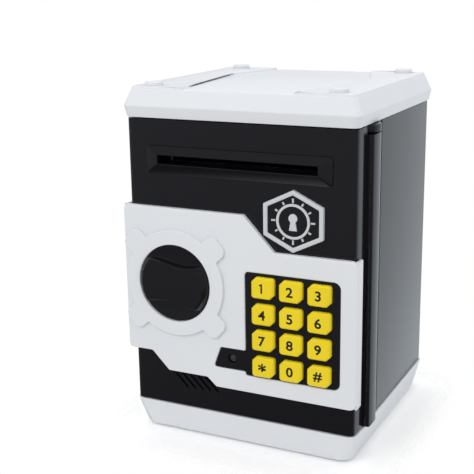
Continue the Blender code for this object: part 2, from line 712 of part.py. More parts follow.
# ---------------------------------------------------------------- note feed
back_plate = [(-47.0, 138.0), (8.0, 138.0), (8.0, 125.5), (39.5, 125.5), (39.5, 138.0),
              (47.0, 138.0), (47.0, 165.0), (-47.0, 165.0)]
bracket = prism(back_plate, depth(14.1), depth(15.7), "Y")
cut(bracket, prism(box2(-44.7, 44.7, 148.5, 154.7), depth(13.0), depth(17.0), "Y"))
join(
    bracket,
    prism(box2(depth(14.6), depth(33.0), 138.4, 164.6), -46.8, -45.0, "X"),
    prism(box2(depth(14.6), depth(33.0), 138.4, 164.6), 45.0, 46.8, "X"),
    block(10.0, 38.5, depth(14.6), depth(32.6), 125.9, 128.2),
)
for z in (FEED_Z, IDLER_Z):
    cut(bracket, rod(ROLLER_Y, z, HOLE_R, -50.0, 50.0, "X", 16))
piece("roller_bracket", bracket, GREY, (HINGE_X, HINGE_Y, 0.0), door_pivot)

motor = prism(rounded_box(ROLLER_Y - 6.0, ROLLER_Y + 6.0, MOTOR_Z - 5.0, MOTOR_Z + 5.0, 1.5, 1),
              11.0, 38.0, "X")
cut(motor, rod(ROLLER_Y, MOTOR_Z, 1.58, 30.0, 40.0, "X", 12))
piece("feed_motor", motor, STEEL, (24.5, ROLLER_Y, MOTOR_Z), door_pivot)

roller = [(PIN_R, -48.0), (PIN_R, -40.1), (ROLLER_R, -40.0), (ROLLER_R, 39.0), (PIN_R, 39.1),
          (PIN_R, 48.0)]
feed = turned(ROLLER_Y, FEED_Z, roller, "X", 16)
join(feed, prism(gear(ROLLER_Y, FEED_Z, 20, -math.pi / 2 + math.pi / 20), 41.0, 44.0, "X"))
piece("feed_roller", feed, RUBBER, (0.0, ROLLER_Y, FEED_Z), door_pivot)
idler = turned(ROLLER_Y, IDLER_Z, roller, "X", 16)
piece("idler_roller", idler, RUBBER, (0.0, ROLLER_Y, IDLER_Z), door_pivot)

pinion = turned(ROLLER_Y, MOTOR_Z, [(1.5, 30.5), (1.5, 44.3)], "X", 12)
join(pinion, prism(gear(ROLLER_Y, MOTOR_Z, 10, math.pi / 2), 41.1, 43.9, "X"))
piece("motor_pinion", pinion, GREY, (42.5, ROLLER_Y, MOTOR_Z), door_pivot)
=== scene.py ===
# %% [markdown]
# # Toy cash machine: finishing the model
# The frame holds every solid part of the bank at its real size and place. This lesson gives each
# part the surface that a real moulded toy shows: rounded edges, dished grips, printed signs and
# plastics that differ in gloss. All lengths in the cells are millimetres, and one function turns
# them into metres when it writes a mesh.

import json
import math

import bmesh
import bpy
import numpy as np
from mathutils import Matrix, Vector
from mathutils.geometry import delaunay_2d_cdt


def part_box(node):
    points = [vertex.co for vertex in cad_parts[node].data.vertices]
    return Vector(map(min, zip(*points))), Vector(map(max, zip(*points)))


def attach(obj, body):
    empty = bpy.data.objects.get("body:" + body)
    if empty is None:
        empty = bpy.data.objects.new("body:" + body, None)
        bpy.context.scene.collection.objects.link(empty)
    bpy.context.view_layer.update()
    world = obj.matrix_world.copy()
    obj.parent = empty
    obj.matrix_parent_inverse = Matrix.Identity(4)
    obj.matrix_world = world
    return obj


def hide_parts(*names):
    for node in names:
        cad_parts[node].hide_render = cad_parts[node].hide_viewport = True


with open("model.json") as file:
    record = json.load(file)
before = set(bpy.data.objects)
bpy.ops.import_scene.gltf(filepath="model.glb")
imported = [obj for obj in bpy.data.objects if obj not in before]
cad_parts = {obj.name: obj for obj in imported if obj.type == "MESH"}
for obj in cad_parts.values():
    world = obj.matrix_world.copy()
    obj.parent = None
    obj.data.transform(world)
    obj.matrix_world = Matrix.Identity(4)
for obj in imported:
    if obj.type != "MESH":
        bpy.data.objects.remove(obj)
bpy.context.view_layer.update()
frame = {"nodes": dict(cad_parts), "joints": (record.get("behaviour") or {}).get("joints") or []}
scene = bpy.context.scene
MM = 0.001


# %% Read sizes from the frame
def span(node):
    """Lowest and highest corner of a part, in millimetres."""
    low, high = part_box(node)
    return np.array(low) / MM, np.array(high) / MM


def middle(node):
    low, high = span(node)
    return (low + high) / 2


def named(start):
    """The frame parts whose names begin with start, in order."""
    return sorted(n for n in frame["nodes"] if n.startswith(start))


def joint_at(body):
    """The point that a body's joint turns about, in millimetres."""
    return np.array(next(j for j in frame["joints"] if j["child"] == body)["pos_m"]) / MM


door_front = span("door_shell")[0][1]
knob_at = middle("knob")
print("door front at y", round(float(door_front), 2), "knob at", np.round(knob_at, 2))


# %% [markdown]
# ## Outlines
# Most parts of a moulded toy are flat shapes with thickness. Their outline is a polygon whose
# corners were rounded by the mould maker. An arc of radius r in a corner touches both sides at
# r / tan(half the corner's angle), so each corner needs only its point and its radius.

# %% Outlines with rounded corners
def arcs(corners, steps=8, closed=True):
    """Each corner (u, v, r) becomes an arc of radius r that touches the two sides next to it."""
    points = []
    spots = np.array([c[:2] for c in corners], float)
    for i, (spot, radius) in enumerate(zip(spots, [c[2] for c in corners])):
        end = not closed and i in (0, len(spots) - 1)
        if radius <= 0 or end:
            points.append(spot[None])
            continue
        before = spots[i - 1] - spot
        after = spots[(i + 1) % len(spots)] - spot
        before /= np.linalg.norm(before)
        after /= np.linalg.norm(after)
        half = math.acos(np.clip(before @ after, -1, 1)) / 2
        bisector = (before + after) / np.linalg.norm(before + after)
        centre = spot + bisector * radius / math.sin(half)
        start = spot + before * radius / math.tan(half) - centre
        finish = spot + after * radius / math.tan(half) - centre
        sweep = math.atan2(start[0] * finish[1] - start[1] * finish[0], start @ finish)
        turn = np.linspace(0, sweep, steps + 1)
        cos, sin = np.cos(turn), np.sin(turn)
        points.append(centre + np.stack([start[0] * cos - start[1] * sin,
                                         start[0] * sin + start[1] * cos], 1))
    return np.concatenate(points)


def box_outline(u0, u1, v0, v1, radius, steps=8):
    return arcs([(u0, v0, radius), (u1, v0, radius), (u1, v1, radius), (u0, v1, radius)], steps)


def ring_outline(u, v, radius, count=64):
    """Circle: the point (u, v) plus radius times (cosine, sine) of an even turn."""
    turn = np.linspace(0, 2 * np.pi, count, endpoint=False)
    return np.stack([u + radius * np.cos(turn), v + radius * np.sin(turn)], 1)


def turned_about(points, degrees):
    """Plane points turned about the origin by the rotation matrix of an angle."""
    a = math.radians(degrees)
    return points @ np.array([[math.cos(a), math.sin(a)], [-math.sin(a), math.cos(a)]])


print("a rounded box has", len(box_outline(0, 10, 0, 5, 1)), "points")


# %% Move an outline inwards
def area(loop):
    """Half the sum of the cross products of following points: positive when anticlockwise."""
    after = np.roll(loop, -1, axis=0)
    return 0.5 * float(np.sum(loop[:, 0] * after[:, 1] - loop[:, 1] * after[:, 0]))


def wound(loop, anticlockwise=True):
    return loop if (area(loop) > 0) == anticlockwise else loop[::-1].copy()


def inset(loop, distance):
    """Each point moves to its left, along the mean of the normals of its two edges.

    The step is distance divided by the cosine of half the turn, so that both edges move by
    exactly that distance. Left is inwards on an anticlockwise loop.
    """
    edge = np.roll(loop, -1, axis=0) - loop
    edge /= np.linalg.norm(edge, axis=1)[:, None]
    after = np.stack([-edge[:, 1], edge[:, 0]], 1)
    mean = after + np.roll(after, 1, axis=0)
    mean /= np.linalg.norm(mean, axis=1)[:, None]
    lean = np.sum(mean * after, axis=1)[:, None]
    return loop + mean * distance / np.maximum(lean, 0.3)


print("area of a 10 by 5 box inset by 1:", round(area(inset(box_outline(0, 10, 0, 5, 0), 1)), 2))


# %% [markdown]
# ## Surfaces
# A solid is made from rings. Each ring is the outline at one height, moved in or out a little, and
# neighbouring rings are joined by four-sided faces. The first and the last ring are closed with
# flat faces. Holes are more loops in the same ring, wound the other way, so that "to the left" is
# always into the material. The flats are filled by a Delaunay triangulation that keeps all edges.

# %% Fill a flat with holes
def fill(loops):
    """Triangles of the flat inside the first loop and outside the others.

    The triangulation covers the hull, and a triangle stays when a ray from its middle crosses the
    loops an odd number of times.
    """
    points = np.concatenate(loops)
    starts = np.cumsum([0] + [len(loop) for loop in loops[:-1]])
    edges = [np.stack([s + np.arange(len(l)), s + np.roll(np.arange(len(l)), -1)], 1)
             for s, l in zip(starts, loops)]
    edges = np.concatenate(edges)
    made = delaunay_2d_cdt([Vector(p) for p in points], edges.tolist(), [], 0, 1e-7, True)
    source = np.array([ids[0] if ids else -1 for ids in made[3]])
    triangles = source[np.array(made[2])]
    corner = points[triangles]
    centre = corner.mean(axis=1)
    a, b = points[edges[:, 0]], points[edges[:, 1]]
    above = (a[None, :, 1] > centre[:, None, 1]) != (b[None, :, 1] > centre[:, None, 1])
    rise = np.where(b[:, 1] == a[:, 1], 1.0, b[:, 1] - a[:, 1])
    cross = a[None, :, 0] + (centre[:, None, 1] - a[None, :, 1]) * ((b - a)[:, 0] / rise)[None]
    inside = (above & (cross > centre[:, None, 0])).sum(axis=1) % 2 == 1
    triangles, corner = triangles[inside], corner[inside]
    one, two = corner[:, 1] - corner[:, 0], corner[:, 2] - corner[:, 0]
    turn = one[:, 0] * two[:, 1] - one[:, 1] * two[:, 0]
    return np.where((turn < 0)[:, None], triangles[:, ::-1], triangles)


print("a square with a hole:", len(fill([box_outline(0, 9, 0, 9, 0),
                                         box_outline(3, 6, 3, 6, 0)[::-1]])), "triangles")

# %% Put points and faces into a mesh
PLANES = {"X": (2, 0, 1), "Y": (0, 2, 1), "Z": (0, 1, 2)}


def on_axis(points, axis):
    """Points (u, v, height) written as x, y, z for a solid that stands along an axis."""
    return points[:, PLANES[axis]]


def linked(name, data):
    made = bpy.data.objects.new(name, data)
    scene.collection.objects.link(made)
    return made


def shaded(name, mesh, sharp):
    """Object with smooth faces, split along edges that turn by more than sharp degrees."""
    mesh.validate()
    mesh.shade_smooth()
    mesh.set_sharp_from_angle(angle=math.radians(sharp))
    return linked(name, mesh)


def piece_of(name, points, faces, sharp=35.0):
    """Object from points in millimetres and a list of face arrays.

    The signed volume is a sixth of the sum of the triple products of the triangles. When it is
    negative, all faces are turned round, so that they point outwards.
    """
    fans = [np.stack([f[:, 0], f[:, k], f[:, k + 1]], 1)
            for f in faces for k in range(1, f.shape[1] - 1)]
    corner = points[np.concatenate(fans)] - points.mean(axis=0)
    volume = np.einsum("ij,ij->i", corner[:, 0], np.cross(corner[:, 1], corner[:, 2])).sum() / 6
    if volume < 0:
        faces = [f[:, ::-1] for f in faces]
    loops = np.concatenate([f.ravel() for f in faces]).astype(np.int32)
    sizes = np.concatenate([np.full(len(f), f.shape[1]) for f in faces])
    mesh = bpy.data.meshes.new(name)
    mesh.vertices.add(len(points))
    mesh.vertices.foreach_set("co", (points * MM).astype(np.float32).ravel())
    mesh.loops.add(len(loops))
    mesh.loops.foreach_set("vertex_index", loops)
    mesh.polygons.add(len(sizes))
    mesh.polygons.foreach_set("loop_start", (np.cumsum(sizes) - sizes).astype(np.int32))
    mesh.update(calc_edges=True)
    return shaded(name, mesh, sharp)


print("planes:", sorted(PLANES))

# %% Stack rings, and plates with rounded edges
SUPPORT = 0.04


def stack(name, rings, axis="Z", closed=False, sharp=35.0):
    """Solid through rings; each ring is a list of (loop, height), the outer loop first.

    Faces join point i and its follower in one ring to the same points in the next ring. A closed
    stack joins its last ring to its first instead of filling the ends.
    """
    counts = [len(loop) for loop, _ in rings[0]]
    starts = np.cumsum([0] + counts[:-1])
    follow = np.concatenate([s + np.roll(np.arange(n), -1) for s, n in zip(starts, counts)])
    points = np.concatenate([np.column_stack([loop, np.full(len(loop), height)])
                             for ring in rings for loop, height in ring])
    total, first = sum(counts), np.arange(sum(counts))
    wall = np.stack([first, follow, follow + total, first + total], 1)
    levels = len(rings) if closed else len(rings) - 1
    walls = np.concatenate([wall + total * k for k in range(levels)]) % len(points)
    faces = [walls]
    if not closed:
        faces.append(fill([loop for loop, _ in rings[0]])[:, ::-1])
        faces.append(fill([loop for loop, _ in rings[-1]]) + total * (len(rings) - 1))
    return piece_of(name, on_axis(points, axis), faces, sharp)


def plate(name, outer, stations, holes=(), axis="Y", sharp=35.0):
    """Solid whose ring at each station (distance, height) is the outline inset by distance."""
    loops = [wound(outer)] + [wound(hole, False) for hole in holes]
    rings = [[(inset(loop, distance), height) for loop in loops] for distance, height in stations]
    return stack(name, rings, axis, sharp=sharp)


def rounded_edge(back, front, radius, steps=3):
    """Stations of a straight wall from back to front that ends in a quarter circle.

    One more ring just inside the flat keeps the shading of the flat apart from the curve's.
    """
    way = 1.0 if front > back else -1.0
    turn = np.linspace(0, np.pi / 2, steps + 1)
    arc = [(radius * (1 - math.cos(a)), front - way * radius * (1 - math.sin(a))) for a in turn]
    return [(0.0, back)] + arc + [(radius + SUPPORT, front)]


def both_edges(back, front, radius, steps=3):
    """Stations of a wall with a quarter circle at both ends."""
    far = rounded_edge(back, front, radius, steps)[1:]
    near = rounded_edge(front, back, radius, steps)[1:]
    return near[::-1] + far


print("stations of a rounded edge:", np.round(rounded_edge(0, 2, 0.5), 2).tolist())


# %% Turned pieces
POLE = 0.01  # radius of the small flat at the end of a turned solid


def lathe(name, centre, profile, axis="Z", count=48, sharp=35.0):
    """Surface of revolution: the profile (radius, height) carried round a line.

    Point (i, j) is centre + radius_i (cos t_j, sin t_j) at height_i. Each end is closed by one
    flat face, which is tiny where the profile runs in to the line.
    """
    radii, heights = np.array(profile, float).T
    turn = np.linspace(0, 2 * np.pi, count, endpoint=False)
    grid = np.stack([
        centre[0] + radii[:, None] * np.cos(turn), centre[1] + radii[:, None] * np.sin(turn),
        np.broadcast_to(heights[:, None], (len(radii), count)),
    ], 2).reshape(-1, 3)
    index = np.arange(len(radii) * count).reshape(len(radii), count)
    after = np.roll(index, -1, axis=1)
    faces = [np.stack([index[:-1], after[:-1], after[1:], index[1:]], 2).reshape(-1, 4)]
    faces.append(index[:1, ::-1])
    faces.append(index[-1:])
    return piece_of(name, on_axis(grid, axis), faces, sharp)


def softened(corners, steps=4):
    """Profile of a turned piece: an open run of corners (radius, height, arc radius)."""
    return arcs(corners, steps, closed=False)


print("profile of a foot:", len(softened([(0.1, 0, 0), (5, 0, 0.5), (5, 2, 0)])), "points")


# %% Smooth copies of frame parts
def smoothed(node, bevel, sharp=33.0):
    """Copy of a frame part with its points merged and its flats joined, edges rounded by bevel."""
    bm = bmesh.new()
    bm.from_mesh(frame["nodes"][node].data)
    bmesh.ops.remove_doubles(bm, verts=bm.verts, dist=2e-6)
    bmesh.ops.dissolve_limit(bm, angle_limit=math.radians(0.6), verts=bm.verts, edges=bm.edges)
    bm.verts.index_update()
    points = [v.co[:] for v in bm.verts]
    faces = [[v.index for v in f.verts] for f in bm.faces]
    bm.free()
    mesh = bpy.data.meshes.new(node + "_smooth")
    mesh.from_pydata(points, [], faces)
    made = shaded(node + "_smooth", mesh, sharp)
    rounding = made.modifiers.new("edges", "BEVEL")
    rounding.width = bevel * MM
    rounding.segments = 2
    rounding.limit_method = "ANGLE"
    rounding.angle_limit = math.radians(sharp)
    rounding.harden_normals = True
    return made


print("ready to copy", len(frame["nodes"]), "parts")

# %% Fit a piece to the frame
def coat(piece, look):
    piece.data.materials.clear()
    piece.data.materials.append(look)


def fit(piece, body, finish, *nodes):
    """Gives a piece the material of its finish and its body, and hides the frame parts that it
    stands for.

    A finish is a material and the name of a slot, which is not used here.
    """
    look, slot = finish
    coat(piece, look)
    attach(piece, body)
    if nodes:
        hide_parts(*nodes)


def turned(name, centre, corners, body, finish, *nodes, axis="Z", count=48, steps=4, sharp=35.0):
    """Fits a turned piece whose profile runs through softened corners."""
    fit(lathe(name, centre, softened(corners, steps), axis, count, sharp), body, finish, *nodes)


def rod(name, centre, radius, ends, softness, body, finish, *nodes, **how):
    """Fits a turned rod between two heights, each end with an arc of its own."""
    (start, stop), (first, last) = ends, softness
    turned(name, centre, [(POLE, start, 0), (radius, start, first), (radius, stop, last),
                          (POLE, stop, 0)], body, finish, *nodes, **how)


def slab(name, outer, stations, body, finish, *nodes, holes=(), axis="Y", sharp=35.0):
    """Fits a plate."""
    fit(plate(name, outer, stations, holes, axis, sharp), body, finish, *nodes)


# %% [markdown]
# ## Finishes
# Moulded plastic is never one flat colour. Its skin copies the mould's fine spark texture, it is
# handled and so has faint smears, and its gloss varies with both. Each finish here is a short
# sum written with Python operators: a small class wraps a socket, and every + or * adds the Math
# node that does it.

# %% Shader maths as expressions
class Field:
    """A value over the surface. Its operators add Math nodes and give the result back."""

    def __init__(self, look, socket):
        self.look = look
        self.socket = socket

    def maths(self, operation, first, second):
        return self.look.node("ShaderNodeMath", {"operation": operation}, {0: first, 1: second})

    def __add__(self, other):
        return self.maths("ADD", self, other)

    def __mul__(self, other):
        return self.maths("MULTIPLY", self, other)

    __radd__, __rmul__ = __add__, __mul__

    def over(self, limit):
        return self.maths("GREATER_THAN", self, limit)


class Look:
    """A material with one Principled shader, whose fixed values are given by name."""

    def __init__(self, name, **fixed):
        self.material = bpy.data.materials.new(name)
        self.material.use_nodes = True
        self.tree = self.material.node_tree
        self.shader = self.tree.nodes["Principled BSDF"]
        for key, value in fixed.items():
            self.shader.inputs[key.replace("_", " ")].default_value = value

    def node(self, kind, settings=None, values=None, out=0):
        """Any node: its settings first, then the values or links of its sockets."""
        made = self.tree.nodes.new(kind)
        for key, value in (settings or {}).items():
            setattr(made, key, value)
        for key, value in (values or {}).items():
            self.feed(value, made.inputs[key])
        return Field(self, made.outputs[out])

    def feed(self, value, socket):
        if isinstance(value, Field):
            self.tree.links.new(value.socket, socket)
        else:
            socket.default_value = value

    def position(self, stretch=(1.0, 1.0, 1.0)):
        """Object coordinates, in metres, stretched along the axes."""
        spot = self.node("ShaderNodeTexCoord", out=3)
        return self.node("ShaderNodeMapping", {}, {0: spot, 3: stretch})

    def noise(self, size, detail=2.0, roughness=0.5, stretch=(1.0, 1.0, 1.0)):
        """Noise whose blotches are about size millimetres wide."""
        return self.node("ShaderNodeTexNoise", {}, {
            "Vector": self.position(stretch), "Scale": 1.0 / (size * MM), "Detail": detail,
            "Roughness": roughness,
        })

    def along(self, axis):
        return self.node("ShaderNodeSeparateXYZ", {}, {0: self.position()}, "XYZ".index(axis))

    def blend(self, amount, one, two):
        return self.node("ShaderNodeMix", {"data_type": "RGBA"}, {0: amount, 6: one, 7: two}, 2)

    def relief(self, height, strength, distance):
        bump = self.node("ShaderNodeBump", {}, {
            "Strength": strength, "Distance": distance * MM, "Height": height,
        })
        self.feed(bump, self.shader.inputs["Normal"])

    def smooth(self, value, start, stop, low=0.0, high=1.0):
        """Smooth step from low at start to high at stop."""
        return self.node("ShaderNodeMapRange", {"interpolation_type": "SMOOTHSTEP"},
                         {0: value, 1: start, 2: stop, 3: low, 4: high})

    def paint(self, colour, roughness, metallic=None):
        for key, value in {"Base Color": colour, "Roughness": roughness,
                           "Metallic": metallic}.items():
            if value is not None:
                self.feed(value, self.shader.inputs[key])
        return self.material


def tone(red, green, blue):
    return (red, green, blue, 1.0)


print("a tone has", len(tone(0, 0, 0)), "values")


# %% Plastics
def plastic(name, light, dark, gloss, smear, grain, grain_size, ior=1.46):
    """Moulded plastic: two close shades mixed by wide mottling, gloss lowered by smears.

    Roughness = gloss + smear x (wide noise + fine noise) / 2; the relief is the spark texture.
    """
    look = Look(name, IOR=ior)
    wide = look.noise(38.0, 3.0)
    fine = look.noise(4.0, 4.0, 0.65)
    skin = look.noise(grain_size, 2.0, 0.6)
    look.relief(skin, grain, 0.05)
    return look.paint(look.blend(wide, light, dark), gloss + smear * (wide + fine) * 0.5)


white_skin = plastic("white moulded plastic", tone(0.735, 0.752, 0.775), tone(0.70, 0.718, 0.745),
                     0.24, 0.12, 0.10, 0.9)
black_skin = plastic("black gloss plastic", tone(0.0066, 0.0066, 0.0086),
                     tone(0.0054, 0.0054, 0.0070), 0.11, 0.10, 0.07, 1.4, 1.5)
black_trim = plastic("black satin plastic", tone(0.0085, 0.0085, 0.0105),
                     tone(0.0065, 0.0065, 0.0082), 0.24, 0.14, 0.12, 0.8, 1.48)
grey_skin = plastic("grey moulded plastic", tone(0.36, 0.37, 0.39), tone(0.31, 0.32, 0.34),
                    0.42, 0.14, 0.2, 0.6)
key_skin = plastic("yellow key plastic", tone(0.86, 0.665, 0.006), tone(0.80, 0.605, 0.004),
                   0.30, 0.14, 0.12, 0.5)
print("plastics:", [m.name for m in (white_skin, black_skin, black_trim, grey_skin, key_skin)])


# %% Metals, rubber and paint
def metal(name, light, dark, rough, stretch, grain=0.15):
    """Drawn metal: noise stretched along the drawing direction sets shade, gloss and relief."""
    look = Look(name, Metallic=1.0)
    streak = look.noise(0.5, 3.0, 0.6, stretch)
    stain = look.noise(9.0, 3.0)
    look.relief(streak, grain, 0.02)
    return look.paint(look.blend(streak, light, dark), rough + 0.16 * streak + 0.1 * stain)


steel = metal("plated steel", tone(0.66, 0.67, 0.69), tone(0.52, 0.53, 0.55), 0.16, (0.06, 1, 1))
brass = metal("stamped brass", tone(0.80, 0.62, 0.28), tone(0.68, 0.50, 0.20), 0.2, (1, 0.1, 1))

rubber_look = Look("moulded rubber")
rubber_grain = rubber_look.noise(0.35, 3.0, 0.7)
rubber_look.relief(rubber_grain, 0.35, 0.08)
rubber = rubber_look.paint(
    rubber_look.blend(rubber_look.noise(6.0), tone(0.03, 0.03, 0.032), tone(0.045, 0.044, 0.044)),
    0.66 + 0.2 * rubber_grain,
)

silver_look = Look("silver paint", IOR=1.5)
flake = silver_look.noise(0.16, 1.0)
cloud = silver_look.noise(5.0, 3.0)
silver_look.relief(flake, 0.12, 0.03)
silver = silver_look.paint(
    silver_look.blend(flake, tone(0.74, 0.765, 0.79), tone(0.60, 0.625, 0.65)),
    0.36 + 0.14 * cloud, 0.10 + 0.2 * flake,
)
ink_look = Look("black ink", IOR=1.4)
ink = ink_look.paint(
    ink_look.blend(ink_look.noise(0.8), tone(0.012, 0.012, 0.012), tone(0.022, 0.02, 0.016)),
    0.42 + 0.2 * ink_look.noise(0.3),
)
print("metals and paints:", [m.name for m in (steel, brass, rubber, silver, ink)])

# %% Lamp, board and cells
lamp_look = Look("smoked lamp lens", IOR=1.5, Coat_Weight=0.6, Coat_Roughness=0.05)
lamp = lamp_look.paint(
    lamp_look.blend(lamp_look.noise(1.2), tone(0.035, 0.035, 0.04), tone(0.02, 0.02, 0.024)),
    0.12 + 0.1 * lamp_look.noise(0.6),
)

board_look = Look("circuit board", IOR=1.5)
track = board_look.along("X") * 420.0
track = board_look.node("ShaderNodeMath", {"operation": "FRACT"}, {0: track}).over(0.7)
patch = board_look.noise(7.0, 2.0).over(0.5)
board_look.relief(track * patch, 0.3, 0.04)
board = board_look.paint(
    board_look.blend(track * patch, tone(0.012, 0.14, 0.05), tone(0.03, 0.24, 0.10)),
    0.34 + 0.12 * board_look.noise(2.0),
)

sleeve_look = Look("printed cell sleeve", IOR=1.5)
end_band = sleeve_look.along("Y").over(0.029)
sleeve = sleeve_look.paint(
    sleeve_look.blend(end_band, tone(0.02, 0.05, 0.16), tone(0.62, 0.40, 0.14)),
    0.26 + 0.12 * sleeve_look.noise(3.0), 0.35 + 0.3 * end_band,
)
print("lamp, board and sleeve are ready")

# %% Finishes: a material and the name of a slot
WHITE, GREY = (white_skin, "white_shell"), (grey_skin, "grey_plastic")
BLACK, TRIM = (black_skin, "black_shell"), (black_trim, "black_shell")
YELLOW, SILVER = (key_skin, "key_yellow"), (silver, "badge_silver")
STEEL, BRASS = (steel, "steel"), (brass, "steel")
RUBBER, INK = (rubber, "rubber"), (ink, "rubber")
SLEEVE, LAMP = (sleeve, "cell_sleeve"), (lamp, "lamp_lens")
print("slots:", sorted({slot for _, slot in (WHITE, GREY, BLACK, YELLOW, SILVER, STEEL, RUBBER,
                                             SLEEVE, LAMP)}))


# %% [markdown]
# ## Cap
# The cap is a shallow white tray turned upside down. Its sides lean out to a belly about a third
# of the way up and then lean in to the top. One closed run of rings gives it: from the ceiling
# inside, down the inner wall, round the lip, and up the outside. The top has two raised side
# plates, with a lower band between them that is narrow at the ends and wide in the middle.

# %% Cap body
cap_low, cap_high = span("top_cap")
CAP_MID = (cap_low[1] + cap_high[1]) / 2
CAP_TOP = cap_high[2]
BELLY = cap_high[0]


def cap_ring(half, radius, z, steps=10):
    """Rounded rectangle that keeps the cap's depth 3 mm under its width on each side."""
    deep = half - 3.0
    loop = box_outline(-half, half, CAP_MID - deep, CAP_MID + deep, radius, steps)
    return [(loop, z)]


cap_rings = [cap_ring(*ring) for ring in (
    (59.6, 2.0, 185.0), (62.0, 2.2, 178.6), (61.3, 2.1, 173.0), (61.35, 2.1, 172.6),
    (61.6, 2.3, 172.5), (63.3, 3.9, 172.5), (63.55, 4.0, 172.6), (63.66, 4.05, 172.85),
    (64.55, 4.2, 177.2), (64.74, 4.28, 177.9), (64.8, 4.3, 178.2), (64.72, 4.3, 178.55),
    (64.35, 4.28, 179.4), (61.75, 4.05, 186.3), (61.55, 4.0, 186.75), (61.25, 3.9, 187.0),
    (60.9, 3.8, 187.1),
)]
fit(stack("cap_body", cap_rings, sharp=50.0), "housing", WHITE, "top_cap")
print("cap belly", round(float(BELLY), 1), "top", round(float(CAP_TOP), 1))

# %% Raised side plates of the cap
PAD_X, PAD_Y = middle("top_pad_front_right")[:2]
PAD_BACK = middle("top_pad_rear_right")[1]
BAND_END, BAND_MID, BAND_TOP = 30.0, 42.5, 187.15
side = 61.55
near, far = CAP_MID - side + 3.0, CAP_MID + side - 3.0
right_corners = [
    (BAND_END, near, 0.3), (side, near, 3.9), (side, far, 3.9), (BAND_END, far, 0.3),
    (BAND_END, CAP_MID + 53.0, 2.0), (BAND_MID, CAP_MID + 17.0, 8.0),
    (BAND_MID, CAP_MID - 17.0, 8.0), (BAND_END, CAP_MID - 53.0, 2.0),
]
plate_stations = [(0.02, 186.4), (0.3, 187.5), (0.42, 187.78), (0.62, 187.95), (0.9, 188.0)]
for sign, hand in ((1, "right"), (-1, "left")):
    outer = arcs([(u * sign, v, r) for u, v, r in right_corners], 8)
    seats = [ring_outline(sign * PAD_X, y, 4.95, 48) for y in (PAD_Y, PAD_BACK)]
    slab("cap_plate_" + hand, outer, plate_stations, "housing", WHITE, holes=seats, axis="Z")
print("pads stand at x", round(float(PAD_X), 1), "y", round(float(PAD_Y), 1))

# %% Pads on the cap, and feet
for node in named("top_pad_"):
    top = span(node)[1][2]
    turned(node + "_turned", middle(node)[:2], [
        (POLE, BAND_TOP, 0), (4.7, BAND_TOP, 0), (4.75, top, 0.55), (3.6, top, 0.4),
        (3.3, top - 0.25, 0.3), (POLE, top - 0.3, 0),
    ], "housing", WHITE, node, sharp=60.0)
for node in named("foot_"):
    rod(node + "_turned", middle(node)[:2], 5.0, (0.0, span(node)[1][2]), (0.6, 0.2), "housing",
        RUBBER, node)
print(len(named("top_pad_")), "pads and", len(named("foot_")), "feet")


# %% [markdown]
# ## Base
# The base is the same kind of tray, but it tapers straight down to the ground. Its top carries
# the pocket for the cells, which stands a little above the floor of the money chamber, and the
# lower hinge pin. The floor needs a hole where the pocket passes through, so each ring here is
# two loops: the outer wall, and the hole.

# %% Base tray with the hole for the pocket
base_low, base_high = span("base")
BASE_MID = (base_low[1] + base_high[1]) / 2
POCKET = (-24.5, 24.5, -11.5, 47.5)
hole = wound(box_outline(*POCKET, 3.0, 6), False)


def base_ring(back, radius, z, floor):
    """Outer loop set back from the rim, with the pocket's hole at the height floor."""
    half = base_high[0] - back
    deep = base_high[1] - BASE_MID - back
    loop = box_outline(-half, half, BASE_MID - deep, BASE_MID + deep, radius, 12)
    return [(loop, z), (hole, floor)]


base_rings = [base_ring(*ring) for ring in (
    (3.4, 3.0, 14.0, 14.0), (6.1, 4.5, 1.2, 14.2), (5.9, 4.6, 1.0, 14.4), (4.1, 6.9, 1.0, 14.6),
    (3.75, 7.0, 1.1, 14.8), (3.45, 7.0, 1.45, 15.0), (3.05, 6.9, 2.0, 15.2),
    (0.2, 4.5, 15.5, 15.6), (0.06, 4.4, 15.9, 15.9), (0.0, 4.4, 16.15, 16.1),
    (0.1, 4.35, 16.35, 16.3), (0.35, 4.2, 16.47, 16.4), (0.6, 4.0, 16.5, 16.5),
)]
fit(stack("base_tray", base_rings, sharp=50.0), "housing", WHITE, "base")
pocket = [(1.6, 19.2), (1.5, 4.6), (1.3, 4.4), (0.2, 4.4), (0.0, 4.6), (0.0, 20.7), (0.1, 21.05),
          (0.35, 21.3), (0.7, 21.4)]
slab("base_pocket", box_outline(*POCKET, 3.0, 6), pocket, "housing", WHITE, axis="Z")
print("base rim", round(float(base_high[0]), 1), "tapers to", round(float(base_high[0] - 3.7), 1))

# %% Lower hinge pin
HINGE, PIN_R = joint_at("door")[:2], 2.0
turned("base_hinge_pin", HINGE, [
    (POLE, 15.8, 0), (4.0, 15.8, 0), (3.6, 16.85, 0.2), (PIN_R, 16.85, 0.2), (PIN_R, 27.4, 0.7),
    (POLE, 27.4, 0),
], "housing", WHITE)
print("hinge axis at", HINGE)

# %% [markdown]
# ## Underside
# The bottom plate and the cell cover are already right in shape. A real moulding has no sharp
# edge, though, so each is copied with its points merged and gets a small bevel, which catches a
# line of light along every edge. The screws are turned anew, each with a recess in its head.

